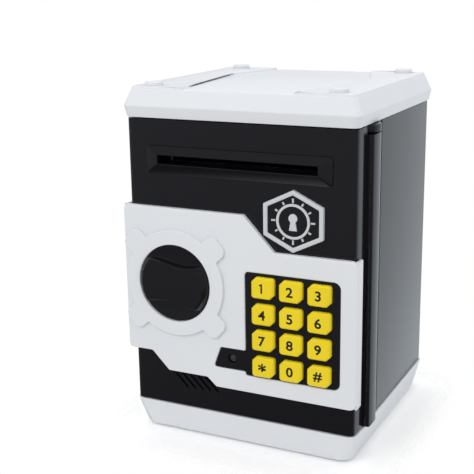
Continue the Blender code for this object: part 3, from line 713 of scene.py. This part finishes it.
# %% Bottom plate, cover and screws
fit(smoothed("bottom_plate", 0.2), "housing", WHITE, "bottom_plate")
fit(smoothed("battery_cover", 0.2), "housing", WHITE, "battery_cover")
screws = sorted(n for n in frame["nodes"] if "screw" in n)
for node in screws:
    body = "door" if node.startswith("cover") else "housing"
    axis, flat, start = ("Y", (0, 2), 1) if body == "door" else ("Z", (0, 1), 2)
    low, high = span(node)
    head_r = (high[0] - low[0]) / 2
    outer, inner = (high[start], low[start]) if body == "door" else (low[start], high[start])
    way = 1.0 if inner > outer else -1.0
    top = outer + way * 0.9
    turned(node + "_turned", middle(node)[list(flat)], [
        (POLE, outer + way * 0.55, 0), (1.0, outer + way * 0.5, 0), (1.1, outer, 0.1),
        (head_r, outer, 0.25), (head_r, top, 0.1), (1.1, top + way * 0.3, 0.1),
        (1.1, inner - way * 0.7, 0.1), (POLE, inner, 0),
    ], body, STEEL, node, axis=axis, count=32)
print(len(screws), "screws")

# %% Cells and their contacts
for node in named("battery_cell_"):
    low, high = span(node)
    way = -1.0 if node.endswith("middle") else 1.0
    start, stop = (low[1], high[1]) if way > 0 else (high[1], low[1])
    turned(node + "_turned", middle(node)[[0, 2]], [
        (POLE, start, 0), (6.0, start, 0.2), (6.4, start + way * 0.3, 0.2),
        (7.25, start + way * 0.3, 0.6), (7.25, stop - way * 1.3, 0.7), (6.2, stop - way * 1.1, 0.2),
        (2.75, stop - way * 1.1, 0.2), (2.75, stop, 0.4), (POLE, stop, 0),
    ], "housing", SLEEVE, node, axis="Y")
for node in ("battery_contact_front", "battery_contact_rear"):
    coat(frame["nodes"][node], steel)
print(len(named("battery_cell_")), "cells")


# %% [markdown]
# ## Housing
# The housing is a U of black sheet-like wall, the same all the way up. That makes it a plate
# that stands on end: its outline is the plan view, and its stations run up the height. The tab
# that holds the upper hinge pin is a second plate, the union of a disc round the hinge axis and
# a strip that reaches back to the wall.

# %% Housing wall and hinge tab
shell_low, shell_high = span("body_shell")
wall = 2.2
half = 63.0
back = shell_high[1]
plan = arcs([
    (-half, -43.7, 0.4), (-55.0, -43.7, 0.5), (-55.0, -41.5, 0.5), (-half + wall, -41.5, 0.6),
    (-half + wall, back - wall, 1.8), (half - wall, back - wall, 1.8),
    (half - wall, -22.3, 0.5), (half, -22.3, 0.5), (half, back, 4.0), (-half, back, 4.0),
], 10)
z0, z1 = shell_low[2], shell_high[2]
slab("housing_wall", plan, both_edges(z0, z1, 0.3), "housing", BLACK, "body_shell", axis="Z")
turn = np.radians(np.linspace(134.9, 417.2, 60))
disc = HINGE + 8.5 * np.stack([np.cos(turn), np.sin(turn)], 1)
tab = np.concatenate([disc, [(62.6, -12.0), (52.0, -12.0)]])
slab("hinge_tab", tab, both_edges(168.2, 172.1, 0.3), "housing", BLACK,
     holes=[ring_outline(*HINGE, PIN_R + 0.08, 32)], axis="Z")
turned("upper_hinge_pin", HINGE, [
    (POLE, 160.0, 0), (PIN_R, 160.0, 0.6), (PIN_R, 172.4, 0.1), (3.2, 172.4, 0.2),
    (3.2, 174.0, 0.5), (POLE, 174.0, 0),
], "housing", STEEL, "hinge_pin_upper")
print("wall from z", round(float(z0), 1), "to", round(float(z1), 1))

# %% [markdown]
# ## Door
# The door is one black moulding with the hinge barrel on its back. Its front edges have a wide
# radius, which shows as a soft upright line of light at the right-hand side. The frame's solid
# already has that radius and the slanted sound slits, so it is copied smooth, with a fine bevel.

# %% Door shell and back cover
fit(smoothed("door_shell", 0.22, 31.0), "door", BLACK, "door_shell")
low, high = span("door_back_cover")
shaft = ring_outline(knob_at[0], knob_at[2], 5.3, 40)
note_gap = box_outline(-45.0, 45.0, 148.6, 154.6, 0.6, 4)
wells = [ring_outline(*middle(n)[[0, 2]], 2.9, 32) for n in screws if n.startswith("cover")]
cover_outline = box_outline(low[0], high[0], low[2], high[2], 0.8, 4)
slab("door_cover", cover_outline, both_edges(low[1], high[1], 0.25), "door", TRIM,
     "door_back_cover", holes=[shaft, note_gap] + wells)
print("door cover", np.round(high - low, 1))

# %% [markdown]
# ## Front panel
# The white panel is a flat shape with cut corners that wraps a little way round both sides of
# the door. It carries a raised collar round the knob with four rounded lobes. The panel is a
# plate with two holes, one for the knob and one for the keypad frame, and the collar is a second
# plate on it. A lobe's foot lies where its straight side meets the ring, at the square root of
# ring radius squared minus half width squared along the lobe's own axis.

# %% Panel outline
PANEL_X = span("front_panel")[1][0]
face_front = door_front - 3.0
panel_outline = arcs([
    (-PANEL_X, 46.9, 3.0), (-50.9, 46.9, 1.5), (-40.9, 36.9, 1.5), (-17.7, 36.9, 1.5),
    (-12.4, 32.3, 1.5), (PANEL_X, 32.3, 4.0), (PANEL_X, 109.0, 4.0), (21.2, 109.0, 1.5),
    (4.4, 126.8, 1.5), (-PANEL_X, 126.8, 3.0),
], 8)


def keypad_outline(grow):
    """The keypad frame's outline with its tail, moved outwards by grow."""
    low, high = 42.0 - grow, 97.3 + grow
    left, right = 5.3 - grow, 56.1 + grow
    return arcs([
        (left, low, 1.0), (right, low, 3.5), (right, high, 3.5), (left, high, 2.0),
        (left, 54.7 + grow, 1.0), (-9.1 - grow, 54.7 + grow, 1.2),
        (-13.1 - grow * 1.3, 44.0 - grow, 1.2), (left, 44.0 - grow, 0.8),
    ], 8)


knob_hole = ring_outline(knob_at[0], knob_at[2], 20.8, 128)
slab("panel_face", panel_outline, rounded_edge(door_front - 0.3, face_front, 0.8, 5), "door",
     WHITE, "front_panel", holes=[knob_hole, keypad_outline(0.3)])
print("panel is", round(2 * float(PANEL_X), 1), "wide")

# %% Returns of the panel round the door's sides
for sign, z0, z1, hand in ((-1, 46.9, 126.8, "left"), (1, 32.3, 109.0, "right")):
    inner, outer = 63.3, PANEL_X - 0.02
    section = arcs([
        (sign * inner, door_front - 1.0, 0.2), (sign * outer, door_front - 2.1, 0.2),
        (sign * outer, door_front + 5.0, 0.8), (sign * inner, door_front + 5.0, 0.3),
    ], 6)
    ends = [(0.6, z0 + 0.05), (0.25, z0 + 0.2), (0.0, z0 + 0.8), (0.0, z1 - 0.8),
            (0.25, z1 - 0.2), (0.6, z1 - 0.05)]
    slab("panel_return_" + hand, section, ends, "door", WHITE, axis="Z")
print("returns reach", round(float(PANEL_X), 1), "to each side")

# %% Collar round the knob
COLLAR_R, LOBE_R, LOBE_HALF = 28.5, 36.0, 6.2
LOBES = np.radians([42.0, 138.0, 222.0, 318.0])
foot = math.sqrt(COLLAR_R**2 - LOBE_HALF**2)
spread = math.asin(LOBE_HALF / COLLAR_R) + 0.055
corners = []
for centre, after in zip(LOBES, np.append(LOBES[1:], LOBES[0] + 2 * np.pi)):
    for out, across, radius in ((foot, -LOBE_HALF, 1.2), (LOBE_R, -LOBE_HALF, 3.8),
                                (LOBE_R, LOBE_HALF, 3.8), (foot, LOBE_HALF, 1.2)):
        corners.append((out * math.cos(centre) - across * math.sin(centre),
                        out * math.sin(centre) + across * math.cos(centre), radius))
    for t in np.linspace(centre + spread, after - spread, 24):
        corners.append((COLLAR_R * math.cos(t), COLLAR_R * math.sin(t), 0))
collar_outer = arcs(corners, 6) + knob_at[[0, 2]]
slab("knob_collar", collar_outer, rounded_edge(face_front + 0.5, door_front - 4.45, 0.5, 4),
     "door", WHITE, holes=[knob_hole])
print("collar outline has", len(collar_outer), "points")

# %% [markdown]
# ## Note slot
# The bezel is a frame of four sloping faces that meet in mitres and rise towards the slot, so the
# top face is lit and the bottom one is in shade. Nine loops, from the outer edge to the lip and
# down into the slot, make it a closed ring.

# %% Slot bezel
bz_low, bz_high = span("slot_bezel")
slot = (-44.0, 44.0, 149.4, 153.8)
BEZEL_SIDE, BEZEL_BELOW, BEZEL_ABOVE = 7.0, 5.4, 4.6


def bezel_loop(grow, radius, d):
    side, below, above = grow * BEZEL_SIDE, grow * BEZEL_BELOW, grow * BEZEL_ABOVE
    return [(box_outline(slot[0] - side, slot[1] + side, slot[2] - below, slot[3] + above,
                         radius, 5), door_front + d)]


bezel = stack("bezel", [
    bezel_loop(1.0, 1.4, -0.3), bezel_loop(1.0, 1.4, -0.6), bezel_loop(0.985, 1.4, -0.78),
    bezel_loop(0.95, 1.35, -0.9), bezel_loop(0.12, 0.45, -2.38), bezel_loop(0.07, 0.42, -2.5),
    bezel_loop(0.02, 0.4, -2.42), bezel_loop(0.0, 0.4, -2.2), bezel_loop(0.0, 0.4, -0.3),
], "Y", closed=True, sharp=25.0)
fit(bezel, "door", BLACK, "slot_bezel")
print("bezel", np.round(bz_high - bz_low, 1))

# %% [markdown]
# ## Badge
# The badge is a plain six-sided plate with a raised rim, a dark field and a keyhole with small
# marks around it, like the dial of a safe. The rim is one run of rings that goes up, over and
# down again to the field.

# %% Badge rim and field
badge_at = middle("badge")
badge_low, badge_high = span("badge")


def badge_outline(back):
    w = (badge_high[0] - badge_low[0]) / 2 - back
    h = (badge_high[2] - badge_low[2]) / 2 + 0.1 - 1.1 * back
    s = 8.0 - 0.6 * back
    corners = [(0, -h), (w, -s), (w, s), (0, h), (-w, s), (-w, -s)]
    radius = max(1.0 - 0.1 * back, 0.4)
    return wound(arcs([(badge_at[0] + u, badge_at[2] + v, radius) for u, v in corners], 5))


def badge_ring(back, d):
    return [(badge_outline(back), door_front + d)]


rim = stack("badge_rim", [
    badge_ring(2.3, -0.3), badge_ring(0.0, -0.3), badge_ring(0.0, -1.75), badge_ring(0.12, -2.1),
    badge_ring(0.45, -2.3), badge_ring(1.8, -2.3), badge_ring(2.15, -2.12), badge_ring(2.3, -1.7),
], "Y", closed=True)
fit(rim, "door", SILVER, "badge")
slab("badge_field", badge_outline(2.25), [(0.0, door_front - 0.35), (0.0, door_front - 1.5)],
     "door", TRIM)
print("badge at", np.round(badge_at, 1))

# %% Keyhole and dial marks
turn = np.radians(np.linspace(-55, 235, 40))
head = np.stack([2.3 * np.cos(turn), 1.6 + 2.3 * np.sin(turn)], 1)
keyhole = np.concatenate([head, [(-2.1, -4.6), (2.1, -4.6)]])
plate_edge = rounded_edge(door_front - 1.45, door_front - 2.15, 0.2, 2)
centre = np.array([badge_at[0], badge_at[2]])
slab("badge_keyhole", keyhole + centre, plate_edge, "door", SILVER)
slab("badge_dial", ring_outline(*centre, 8.9, 96), plate_edge, "door", SILVER,
     holes=[ring_outline(*centre, 7.6, 96)])
for i in range(12):
    mark = box_outline(9.3, 10.9 if i % 3 else 11.6, -0.45, 0.45, 0.15, 2)
    slab(f"badge_mark_{i + 1}", turned_about(mark, 30 * i) + centre, plate_edge, "door", SILVER)
print("badge dial has 12 marks")

# %% [markdown]
# ## Keypad
# Twelve yellow keys stand in a black frame. Each key is a rectangle with two opposite corners cut
# off, standing well above the frame, with rounded upper edges. The outline is the same for all,
# so one function of the key's centre serves both the key and its hole.

# %% Keys and frame
KEY_WIDTH, KEY_HEIGHT = 12.5, 11.1


def key_outline(x, z, grow):
    w, h, cut = KEY_WIDTH / 2 + grow, KEY_HEIGHT / 2 + grow, 2.5
    return arcs([
        (x - w, z - h, 1.6), (x + w - cut, z - h, 1.4), (x + w, z - h + cut, 1.4),
        (x + w, z + h, 1.6), (x - w + cut, z + h, 1.4), (x - w, z + h - cut, 1.4),
    ], 6)


keys = named("key_")
key_at = {n: middle(n)[[0, 2]] for n in keys}
frame_low, frame_high = span("keypad_frame")
lamp_at = middle("status_led")[[0, 2]]
holes = [key_outline(*key_at[n], 0.2) for n in keys] + [ring_outline(*lamp_at, 2.45, 40)]
slab("keypad_bezel", keypad_outline(0.0), rounded_edge(frame_high[1], frame_low[1], 0.18),
     "door", BLACK, "keypad_frame", holes=holes)
for node in keys:
    low, high = span(node)
    x, z = key_at[node]
    front = low[1]
    stations = [(0.0, door_front + 0.2), (0.0, front + 1.05), (0.06, front + 0.85),
                (0.22, front + 0.66), (0.72, front + 0.12), (0.86, front + 0.03), (1.02, front),
                (1.08, front)]
    slab(node + "_cap", key_outline(x, z, 0.0), stations, node, YELLOW, node, sharp=50.0)
    flange = box_outline(low[0], high[0], low[2], high[2], 0.3, 2)
    slab(node + "_flange", flange, both_edges(door_front + 0.05, high[1], 0.15, 2), node, YELLOW)
print(len(keys), "keys, front at y", round(float(low[1]), 2))

# %% [markdown]
# The printed signs are thin solids that stand 0.03 mm out of each key. All but the 1, which is its
# own polygon, come from the built-in font, made slightly bolder with an offset, turned to face the
# front and centred by their own bounding box, a little to the left of the middle of the key.

# %% Signs on the keys
ONE = [(-0.45, -2.45, 0.1), (0.45, -2.45, 0.1), (0.45, 2.5, 0.1), (-0.3, 2.5, 0.1),
       (-1.35, 1.75, 0.1), (-1.05, 1.2, 0.1), (-0.45, 1.6, 0.1)]
SIGNS = {"key_star": "*", "key_hash": "#"}
SIGN_SHIFT, SIGN_RISE = np.array([-0.35, 0.0]), 0.03
for node in keys:
    sign = SIGNS.get(node, node[-1])
    if sign == "1":
        y = span(node)[0][1]
        digit = arcs(ONE, 2) + key_at[node] + SIGN_SHIFT
        slab(node + "_sign", digit, [(0.0, y + SIGN_RISE), (0.0, y - SIGN_RISE)], node, INK)
        continue
    curve = bpy.data.curves.new(node + "_sign", "FONT")
    curve.body = sign
    curve.size = (9.5 if sign == "*" else 7.0) * MM
    curve.offset = 0.18 * MM
    curve.extrude = SIGN_RISE * MM
    curve.resolution_u = 6
    text = linked(node + "_text", curve)
    bpy.context.view_layer.update()
    graph = bpy.context.evaluated_depsgraph_get()
    mesh = bpy.data.meshes.new_from_object(text.evaluated_get(graph))
    bpy.data.objects.remove(text)
    points = np.zeros(len(mesh.vertices) * 3, np.float32)
    mesh.vertices.foreach_get("co", points)
    points = points.reshape(-1, 3).astype(float)
    centre = (points.max(axis=0) + points.min(axis=0)) / 2
    points -= [centre[0], centre[1], 0.0]
    points[:, 0] *= 1.08
    x, z = (key_at[node] + SIGN_SHIFT) * MM
    y = span(node)[0][1] * MM
    spots = np.stack([x + points[:, 0], y - points[:, 2], z + points[:, 1]], 1)
    mesh.vertices.foreach_set("co", spots.astype(np.float32).ravel())
    mesh.update()
    fit(linked(node + "_sign", mesh), node, INK)
print("signs:", [SIGNS.get(n, n[-1]) for n in keys])

# %% Status lamp
turned("lamp_lens", lamp_at, [
    (POLE, door_front + 3.4, 0), (2.2, door_front + 3.4, 0), (2.2, door_front - 1.5, 0.2),
    (1.9, door_front - 2.0, 0.4), (1.0, door_front - 2.5, 0.8), (POLE, door_front - 2.6, 0),
], "door", LAMP, "status_led", axis="Y", steps=5)
print("lamp at x, z =", np.round(lamp_at, 1))

# %% [markdown]
# ## Knob
# The knob is a disc with a grip bar across its middle and a finger scoop above and below it. Its
# front is a height over the plane: at radius r and angle t it is the lower of the disc's own
# profile and the scoop's floor. Each edge of the bar follows a gentle cosine wave, and the two
# edges are point-symmetric, so the knob looks the same after half a turn.

# %% Knob surface
KNOB_R, KNOB_FRONT, SHOULDER_R, SCOOP_FLOOR = 20.3, 6.5, 17.2, 2.9


def ease(t):
    """Smooth step: 3 t squared minus 2 t cubed, between 0 and 1."""
    t = np.clip(t, 0, 1)
    return t * t * (3 - 2 * t)


def disc_height(r):
    """Front of the plain disc: flat, then a rounded shoulder and a sloping rim."""
    shoulder = np.clip((r - SHOULDER_R) / 1.3, 0, 1)
    slope = np.clip((r - 18.5) / 1.8, 0, 1)
    return KNOB_FRONT - 0.38 * shoulder**2 - 2.5 * slope - 0.35 * slope**2


def bar_edge(x):
    """Distance of the bar's lower edge below the axis, as a cosine wave."""
    return 10.6 - 1.5 * np.cos(np.pi * (x + 6.6) / 20.0)


def scoop_height(x, z):
    """The bar's own height inside its edges; outside, a dished floor that rises to the rim."""
    below = -z - bar_edge(x)
    above = z - bar_edge(-x)
    out = np.maximum(below, above)
    rise = np.clip(np.hypot(x, z) / KNOB_R, 0, 1) ** 4
    floor = SCOOP_FLOOR + 0.45 * rise
    return floor + (KNOB_FRONT - floor) * (1 - ease(out / 1.5))


radii = np.concatenate([np.linspace(0.02, SHOULDER_R, 92), np.linspace(17.3, 20.2, 18), [20.28]])
turn = np.linspace(0, 2 * np.pi, 360, endpoint=False)
r, t = np.meshgrid(radii, turn, indexing="ij")
x, z = r * np.cos(t), r * np.sin(t)
front = np.minimum(disc_height(r), scoop_height(x, z))
rim_rows = np.array([[KNOB_R, 3.2], [KNOB_R, 2.4], [KNOB_R, 0.7], [KNOB_R - 0.2, 0.5], [0.02, 0.5]])
rr = np.concatenate([r, np.repeat(rim_rows[:, :1], len(turn), 1)])
tt = np.concatenate([t, np.repeat(turn[None], len(rim_rows), 0)])
first = np.minimum(rim_rows[:, 1:], front[-1:] - 0.15)
hh = np.concatenate([front, first])
grid = np.stack([knob_at[0] + rr * np.cos(tt), door_front - hh, knob_at[2] + rr * np.sin(tt)], 2)
index = np.arange(grid.shape[0] * grid.shape[1]).reshape(grid.shape[:2])
after = np.roll(index, -1, axis=1)
quads = np.stack([index[:-1], after[:-1], after[1:], index[1:]], 2).reshape(-1, 4)
made = piece_of("knob_grip", grid.reshape(-1, 3), [quads, index[:1, ::-1], index[-1:]], 60.0)
fit(made, "knob", BLACK, "knob")
rod("knob_shaft", knob_at[[0, 2]], 6.0, (door_front - 0.6, door_front + 3.6), (0, 0.4), "knob",
    TRIM, axis="Y")
print("knob stands", round(float(front.max()), 2), "out; scoop floor", round(float(front.min()), 2))

# %% [markdown]
# ## Lock
# Behind the knob sit the notched lock disc, the latch arm, and the small solenoid whose plunger
# drops into a notch. They are seen with the door open, so they get softened edges and metal.

# %% Lock parts
for node, bevel, body, finish in (("lock_cam", 0.25, "knob", GREY),
                                  ("knob_latch", 0.25, "knob", STEEL),
                                  ("lock_solenoid", 0.3, "door", GREY)):
    fit(smoothed(node, bevel), body, finish, node)
low, high = span("lock_plunger")
rod("plunger_rod", middle("lock_plunger")[[1, 2]], 2.0, (low[0], high[0]), (0.5, 0.3), "plunger",
    STEEL, "lock_plunger", axis="X")
print("plunger is", round(float(high[0] - low[0]), 1), "long")


# %% [markdown]
# ## Note feed
# Two rubber rollers pull the note in. Each has a steel shaft and a sleeve with fine grooves. The
# lower one carries a gear that meets the pinion of the small motor. A tooth's flank is an
# involute: at radius r its half angle shrinks by tan(a) - a, where cos(a) is base radius over r.

# %% Rollers
def involute_angle(radius, base):
    slope = np.arccos(np.clip(base / radius, 0, 1))
    return np.tan(slope) - slope


def gear_outline(teeth, first, module=0.8, pressure=math.radians(20.0), play=0.1):
    """Tooth flanks from root to tip; the centre of one tooth is at the angle first."""
    pitch = module * teeth / 2
    base = pitch * math.cos(pressure)
    radius = np.array([pitch - 0.9, max(base, pitch - 0.85), pitch, pitch + 0.35, pitch + 0.65])
    lean = np.where(radius > base, involute_angle(radius, base), 0.0)
    half = math.pi / (2 * teeth) - play / pitch + involute_angle(pitch, base) - lean
    flank_r = np.concatenate([radius, radius[::-1]])
    flank_a = np.concatenate([-half, half[::-1]])
    turn = first + 2 * np.pi * np.arange(teeth)[:, None] / teeth + flank_a[None]
    reach = np.broadcast_to(flank_r, turn.shape)
    return np.stack([reach * np.cos(turn), reach * np.sin(turn)], 2).reshape(-1, 2)


def sleeve_profile(x0, x1, radius):
    """A sleeve with a groove every 3.2 mm, as a run of corners with small arcs."""
    starts = np.arange(x0 + 2.4, x1 - 2.0, 3.2)
    grooves = [(radius - depth, s + step, r) for s in starts for depth, step, r in (
        (0, 0, 0.1), (0.35, 0.1, 0.05), (0.35, 0.6, 0.05), (0, 0.7, 0.1))]
    ends = (2.02, x0, 0), (radius, x0, 0.3), (radius, x1, 0.3), (2.02, x1, 0)
    return softened([*ends[:2], *grooves, *ends[2:]], 2)


SLEEVE_ENDS, SLEEVE_R, SHAFT_END, SHAFT_R = (-40.0, 39.0), 5.6, 48.0, 2.0
for node in ("feed_roller", "idler_roller"):
    at = joint_at(node)[1:]
    made = lathe(node + "_sleeve", at, sleeve_profile(*SLEEVE_ENDS, SLEEVE_R), "X", 40)
    fit(made, node, RUBBER, node)
    rod(node + "_shaft", at, SHAFT_R, (-SHAFT_END, SHAFT_END), (0.4, 0.4), node, STEEL, axis="X",
        count=40)
    print(node, "turns about y, z =", np.round(at, 1))

# %% Gears
for node, teeth, first, x0, x1 in (("feed_roller", 20, -math.pi / 2 + math.pi / 20, 41.0, 44.0),
                                   ("motor_pinion", 10, math.pi / 2, 41.1, 43.9)):
    at = joint_at(node)[1:]
    outline = gear_outline(teeth, first) + at
    stations = [(0.12, x0), (0.0, x0 + 0.15), (0.0, x1 - 0.15), (0.12, x1)]
    stood_for = (node,) if node == "motor_pinion" else ()
    slab(node + "_gear", outline, stations, node, GREY, *stood_for, holes=[
        ring_outline(*at, 1.5 if stood_for else SHAFT_R, 32)], axis="X", sharp=25.0)
rod("pinion_shaft", at, 1.49, (30.5, 44.3), (0.2, 0.3), "motor_pinion", STEEL, axis="X", count=32)
print("gears of 20 and 10 teeth")

# %% Motor, bracket and what is inside the door
low, high = span("feed_motor")
at = middle("feed_motor")[[1, 2]]
can = box_outline(low[1], high[1], low[2], high[2], 4.4, 8)
slab("motor_can", can, both_edges(low[0], low[0] + 17.5, 0.6), "door", STEEL, "feed_motor",
     axis="X")
head = box_outline(low[1], high[1], low[2], high[2], 0.6, 3)
for i, (x0, x1) in enumerate(((17.7, 18.6), (20.4, 21.2), (26.1, 27.0))):
    slab(f"gearbox_plate_{i + 1}", head, both_edges(low[0] + x0, low[0] + x1, 0.15, 2), "door",
         BRASS, holes=[ring_outline(*at, 1.58, 24)], axis="X")
for i, (u, v) in enumerate(((-4.6, -3.6), (4.6, -3.6), (4.6, 3.6), (-4.6, 3.6))):
    rod(f"gearbox_post_{i + 1}", at + (u, v), 0.8, (low[0] + 18.5, low[0] + 26.2), (0.1, 0.1),
        "door", STEEL, axis="X", count=20)
fit(smoothed("roller_bracket", 0.3), "door", GREY, "roller_bracket")
low, high = span("speaker")
turned("speaker_cone", middle("speaker")[[0, 2]], [
    (POLE, low[1] + 1.6, 0), (3.4, low[1] + 1.2, 0.6), (4.0, low[1] + 2.0, 0.5),
    (10.6, low[1] + 0.5, 0.5), (11.6, low[1] + 0.9, 0.4), (12.0, low[1], 0.2),
    (13.0, low[1], 0.3), (13.0, low[1] + 1.6, 0.4), (8.4, high[1] - 2.6, 0.8),
    (8.0, high[1], 0.5), (POLE, high[1], 0),
], "door", RUBBER, "speaker", axis="Y", count=64)
for node, look in (("keypad_mat", rubber), ("keypad_board", board)):
    coat(frame["nodes"][node], look)
print("motor at", np.round(at, 1))

# %% [markdown]
# ## Camera
# The camera stands in front and to the right, a little above the bank, with a short telephoto
# view. Its place follows from the angles: the direction back from the target has the sine and
# cosine of the azimuth in plan and of the elevation upwards, and the roll turns it about its view.

# %% Camera
FOCAL_LENGTH, DISTANCE = 75.32, 568.6
azimuth, elevation, roll = map(math.radians, (26.35, 14.69, -0.91))
backward = Vector((math.sin(azimuth) * math.cos(elevation),
                   -math.cos(azimuth) * math.cos(elevation), math.sin(elevation)))
level = Vector((0, 0, 1)).cross(backward).normalized()
upright = backward.cross(level)
right = level * math.cos(roll) + upright * math.sin(roll)
upward = backward.cross(right)
target = Vector((-29.87, 1.8, 97.0))
camera = linked("camera", bpy.data.cameras.new("camera"))
camera.data.sensor_width = 36.0
camera.data.lens = FOCAL_LENGTH
camera.data.clip_start = 0.01
camera.data.clip_end = 20.0
camera.rotation_mode = "QUATERNION"
camera.rotation_quaternion = Matrix((right, upward, backward)).transposed().to_quaternion()
camera.location = (target + backward * DISTANCE) * MM
scene.camera = camera
print("camera at", np.round(np.array(camera.location) / MM, 1))

# %% [markdown]
# ## Studio
# A white product sweep surrounds the bank: a pale floor, a bright wall behind and to the right,
# and a dim room in front, so that the black front stays black while the side mirrors the wall.
# The world gives that as a gradient over direction, for mirrored rays alone; the soft light on
# matt surfaces is even. Camera rays see plain white.

# %% World
WALL_WAY = Vector((0.42, 0.90, 0.10)).normalized()


class Sky(Look):
    """The world's nodes, added by the same calls as a material's."""

    def __init__(self, world):
        world.use_nodes = True
        self.tree = world.node_tree
        self.tree.nodes.clear()

    def shine(self, colour, strength):
        return self.node("ShaderNodeBackground", {}, {"Color": colour, "Strength": strength})

    def choose(self, ray, other, one):
        """The second light for rays of a kind, and the first for all others."""
        kind = self.node("ShaderNodeLightPath", out=ray)
        return self.node("ShaderNodeMixShader", {}, {0: kind, 1: other, 2: one})


scene.world = bpy.data.worlds.new("studio")
sky = Sky(scene.world)
way = sky.node("ShaderNodeTexCoord", out="Generated")
facing = sky.node("ShaderNodeVectorMath", {"operation": "DOT_PRODUCT"}, {0: way, 1: WALL_WAY},
                  "Value")
up = sky.node("ShaderNodeSeparateXYZ", {}, {0: way}, "Z")
room = sky.blend(sky.smooth(up, -0.62, -0.12), tone(0.02, 0.02, 0.024), tone(0.27, 0.275, 0.30))
room = sky.blend(sky.smooth(up, -0.72, -0.86), room, tone(0.85, 0.86, 0.88))
mirrored = sky.shine(sky.blend(sky.smooth(facing, 0.25, 0.88), room, tone(0.79, 0.85, 0.90)), 1.0)
lit = sky.choose("Is Glossy Ray", sky.shine(tone(0.99, 0.993, 1.0), 0.84), mirrored)
seen = sky.choose("Is Camera Ray", lit, sky.shine(tone(1, 1, 1), 1.0))
sky.feed(seen, sky.tree.nodes.new("ShaderNodeOutputWorld").inputs["Surface"])
scene.view_settings.view_transform = "Standard"
print("world has", len(sky.tree.nodes), "nodes")


# %% Lamps and floor
def softbox(name, place, aim_at, size, power):
    lamp_data = bpy.data.lights.new(name, "AREA")
    lamp_data.shape = "RECTANGLE"
    lamp_data.size, lamp_data.size_y = size
    lamp_data.energy = power
    made = linked(name, lamp_data)
    made.location = place
    way = Vector(aim_at) - Vector(place)
    made.rotation_mode = "QUATERNION"
    made.rotation_quaternion = way.to_track_quat("-Z", "Y")
    made.visible_glossy = False
    return made


softbox("front box", (-0.35, -1.0, 0.95), (0, 0, 0.09), (0.7, 0.5), 4.2)
softbox("right box", (1.2, -0.25, 0.8), (0, 0, 0.1), (0.6, 0.8), 1.5)
FLOOR_R, FOOTPRINT = 900.0, (0.055, 0.055, 0.0)
floor = stack("floor", [[(ring_outline(0, 0, FLOOR_R, 128), z)] for z in (-2.0, 0.0)])
floor_look = Look("floor paper", IOR=1.35, Emission_Strength=0.12)
floor_look.shader.inputs["Emission Color"].default_value = tone(1, 1, 1)
floor_look.relief(floor_look.noise(3.0), 0.05, 0.05)
away = floor_look.position()
for step, other, out in (("ABSOLUTE", None, 0), ("SUBTRACT", FOOTPRINT, 0),
                         ("MAXIMUM", (0, 0, 0), 0), ("LENGTH", None, 1)):
    values = {0: away} if other is None else {0: away, 1: other}
    away = floor_look.node("ShaderNodeVectorMath", {"operation": step}, values, out)
fade = floor_look.smooth(away, 0.0, 0.04, 1.0, 0.0)
normal = floor_look.node("ShaderNodeNewGeometry", out=1)
up = floor_look.node("ShaderNodeSeparateXYZ", {}, {0: normal}, 2)
floor_look.feed(fade * up.over(0.0), floor_look.shader.inputs["Alpha"])
paper_look = floor_look.paint(
    floor_look.blend(floor_look.noise(300.0), tone(0.95, 0.95, 0.955), tone(0.93, 0.93, 0.935)),
    0.38 + 0.1 * floor_look.noise(40.0),
)
floor.data.materials.append(paper_look)
floor.visible_glossy = False
softbox("top box", (-0.1, 0.2, 1.3), (0, 0, 0.1), (0.8, 0.8), 4.0)
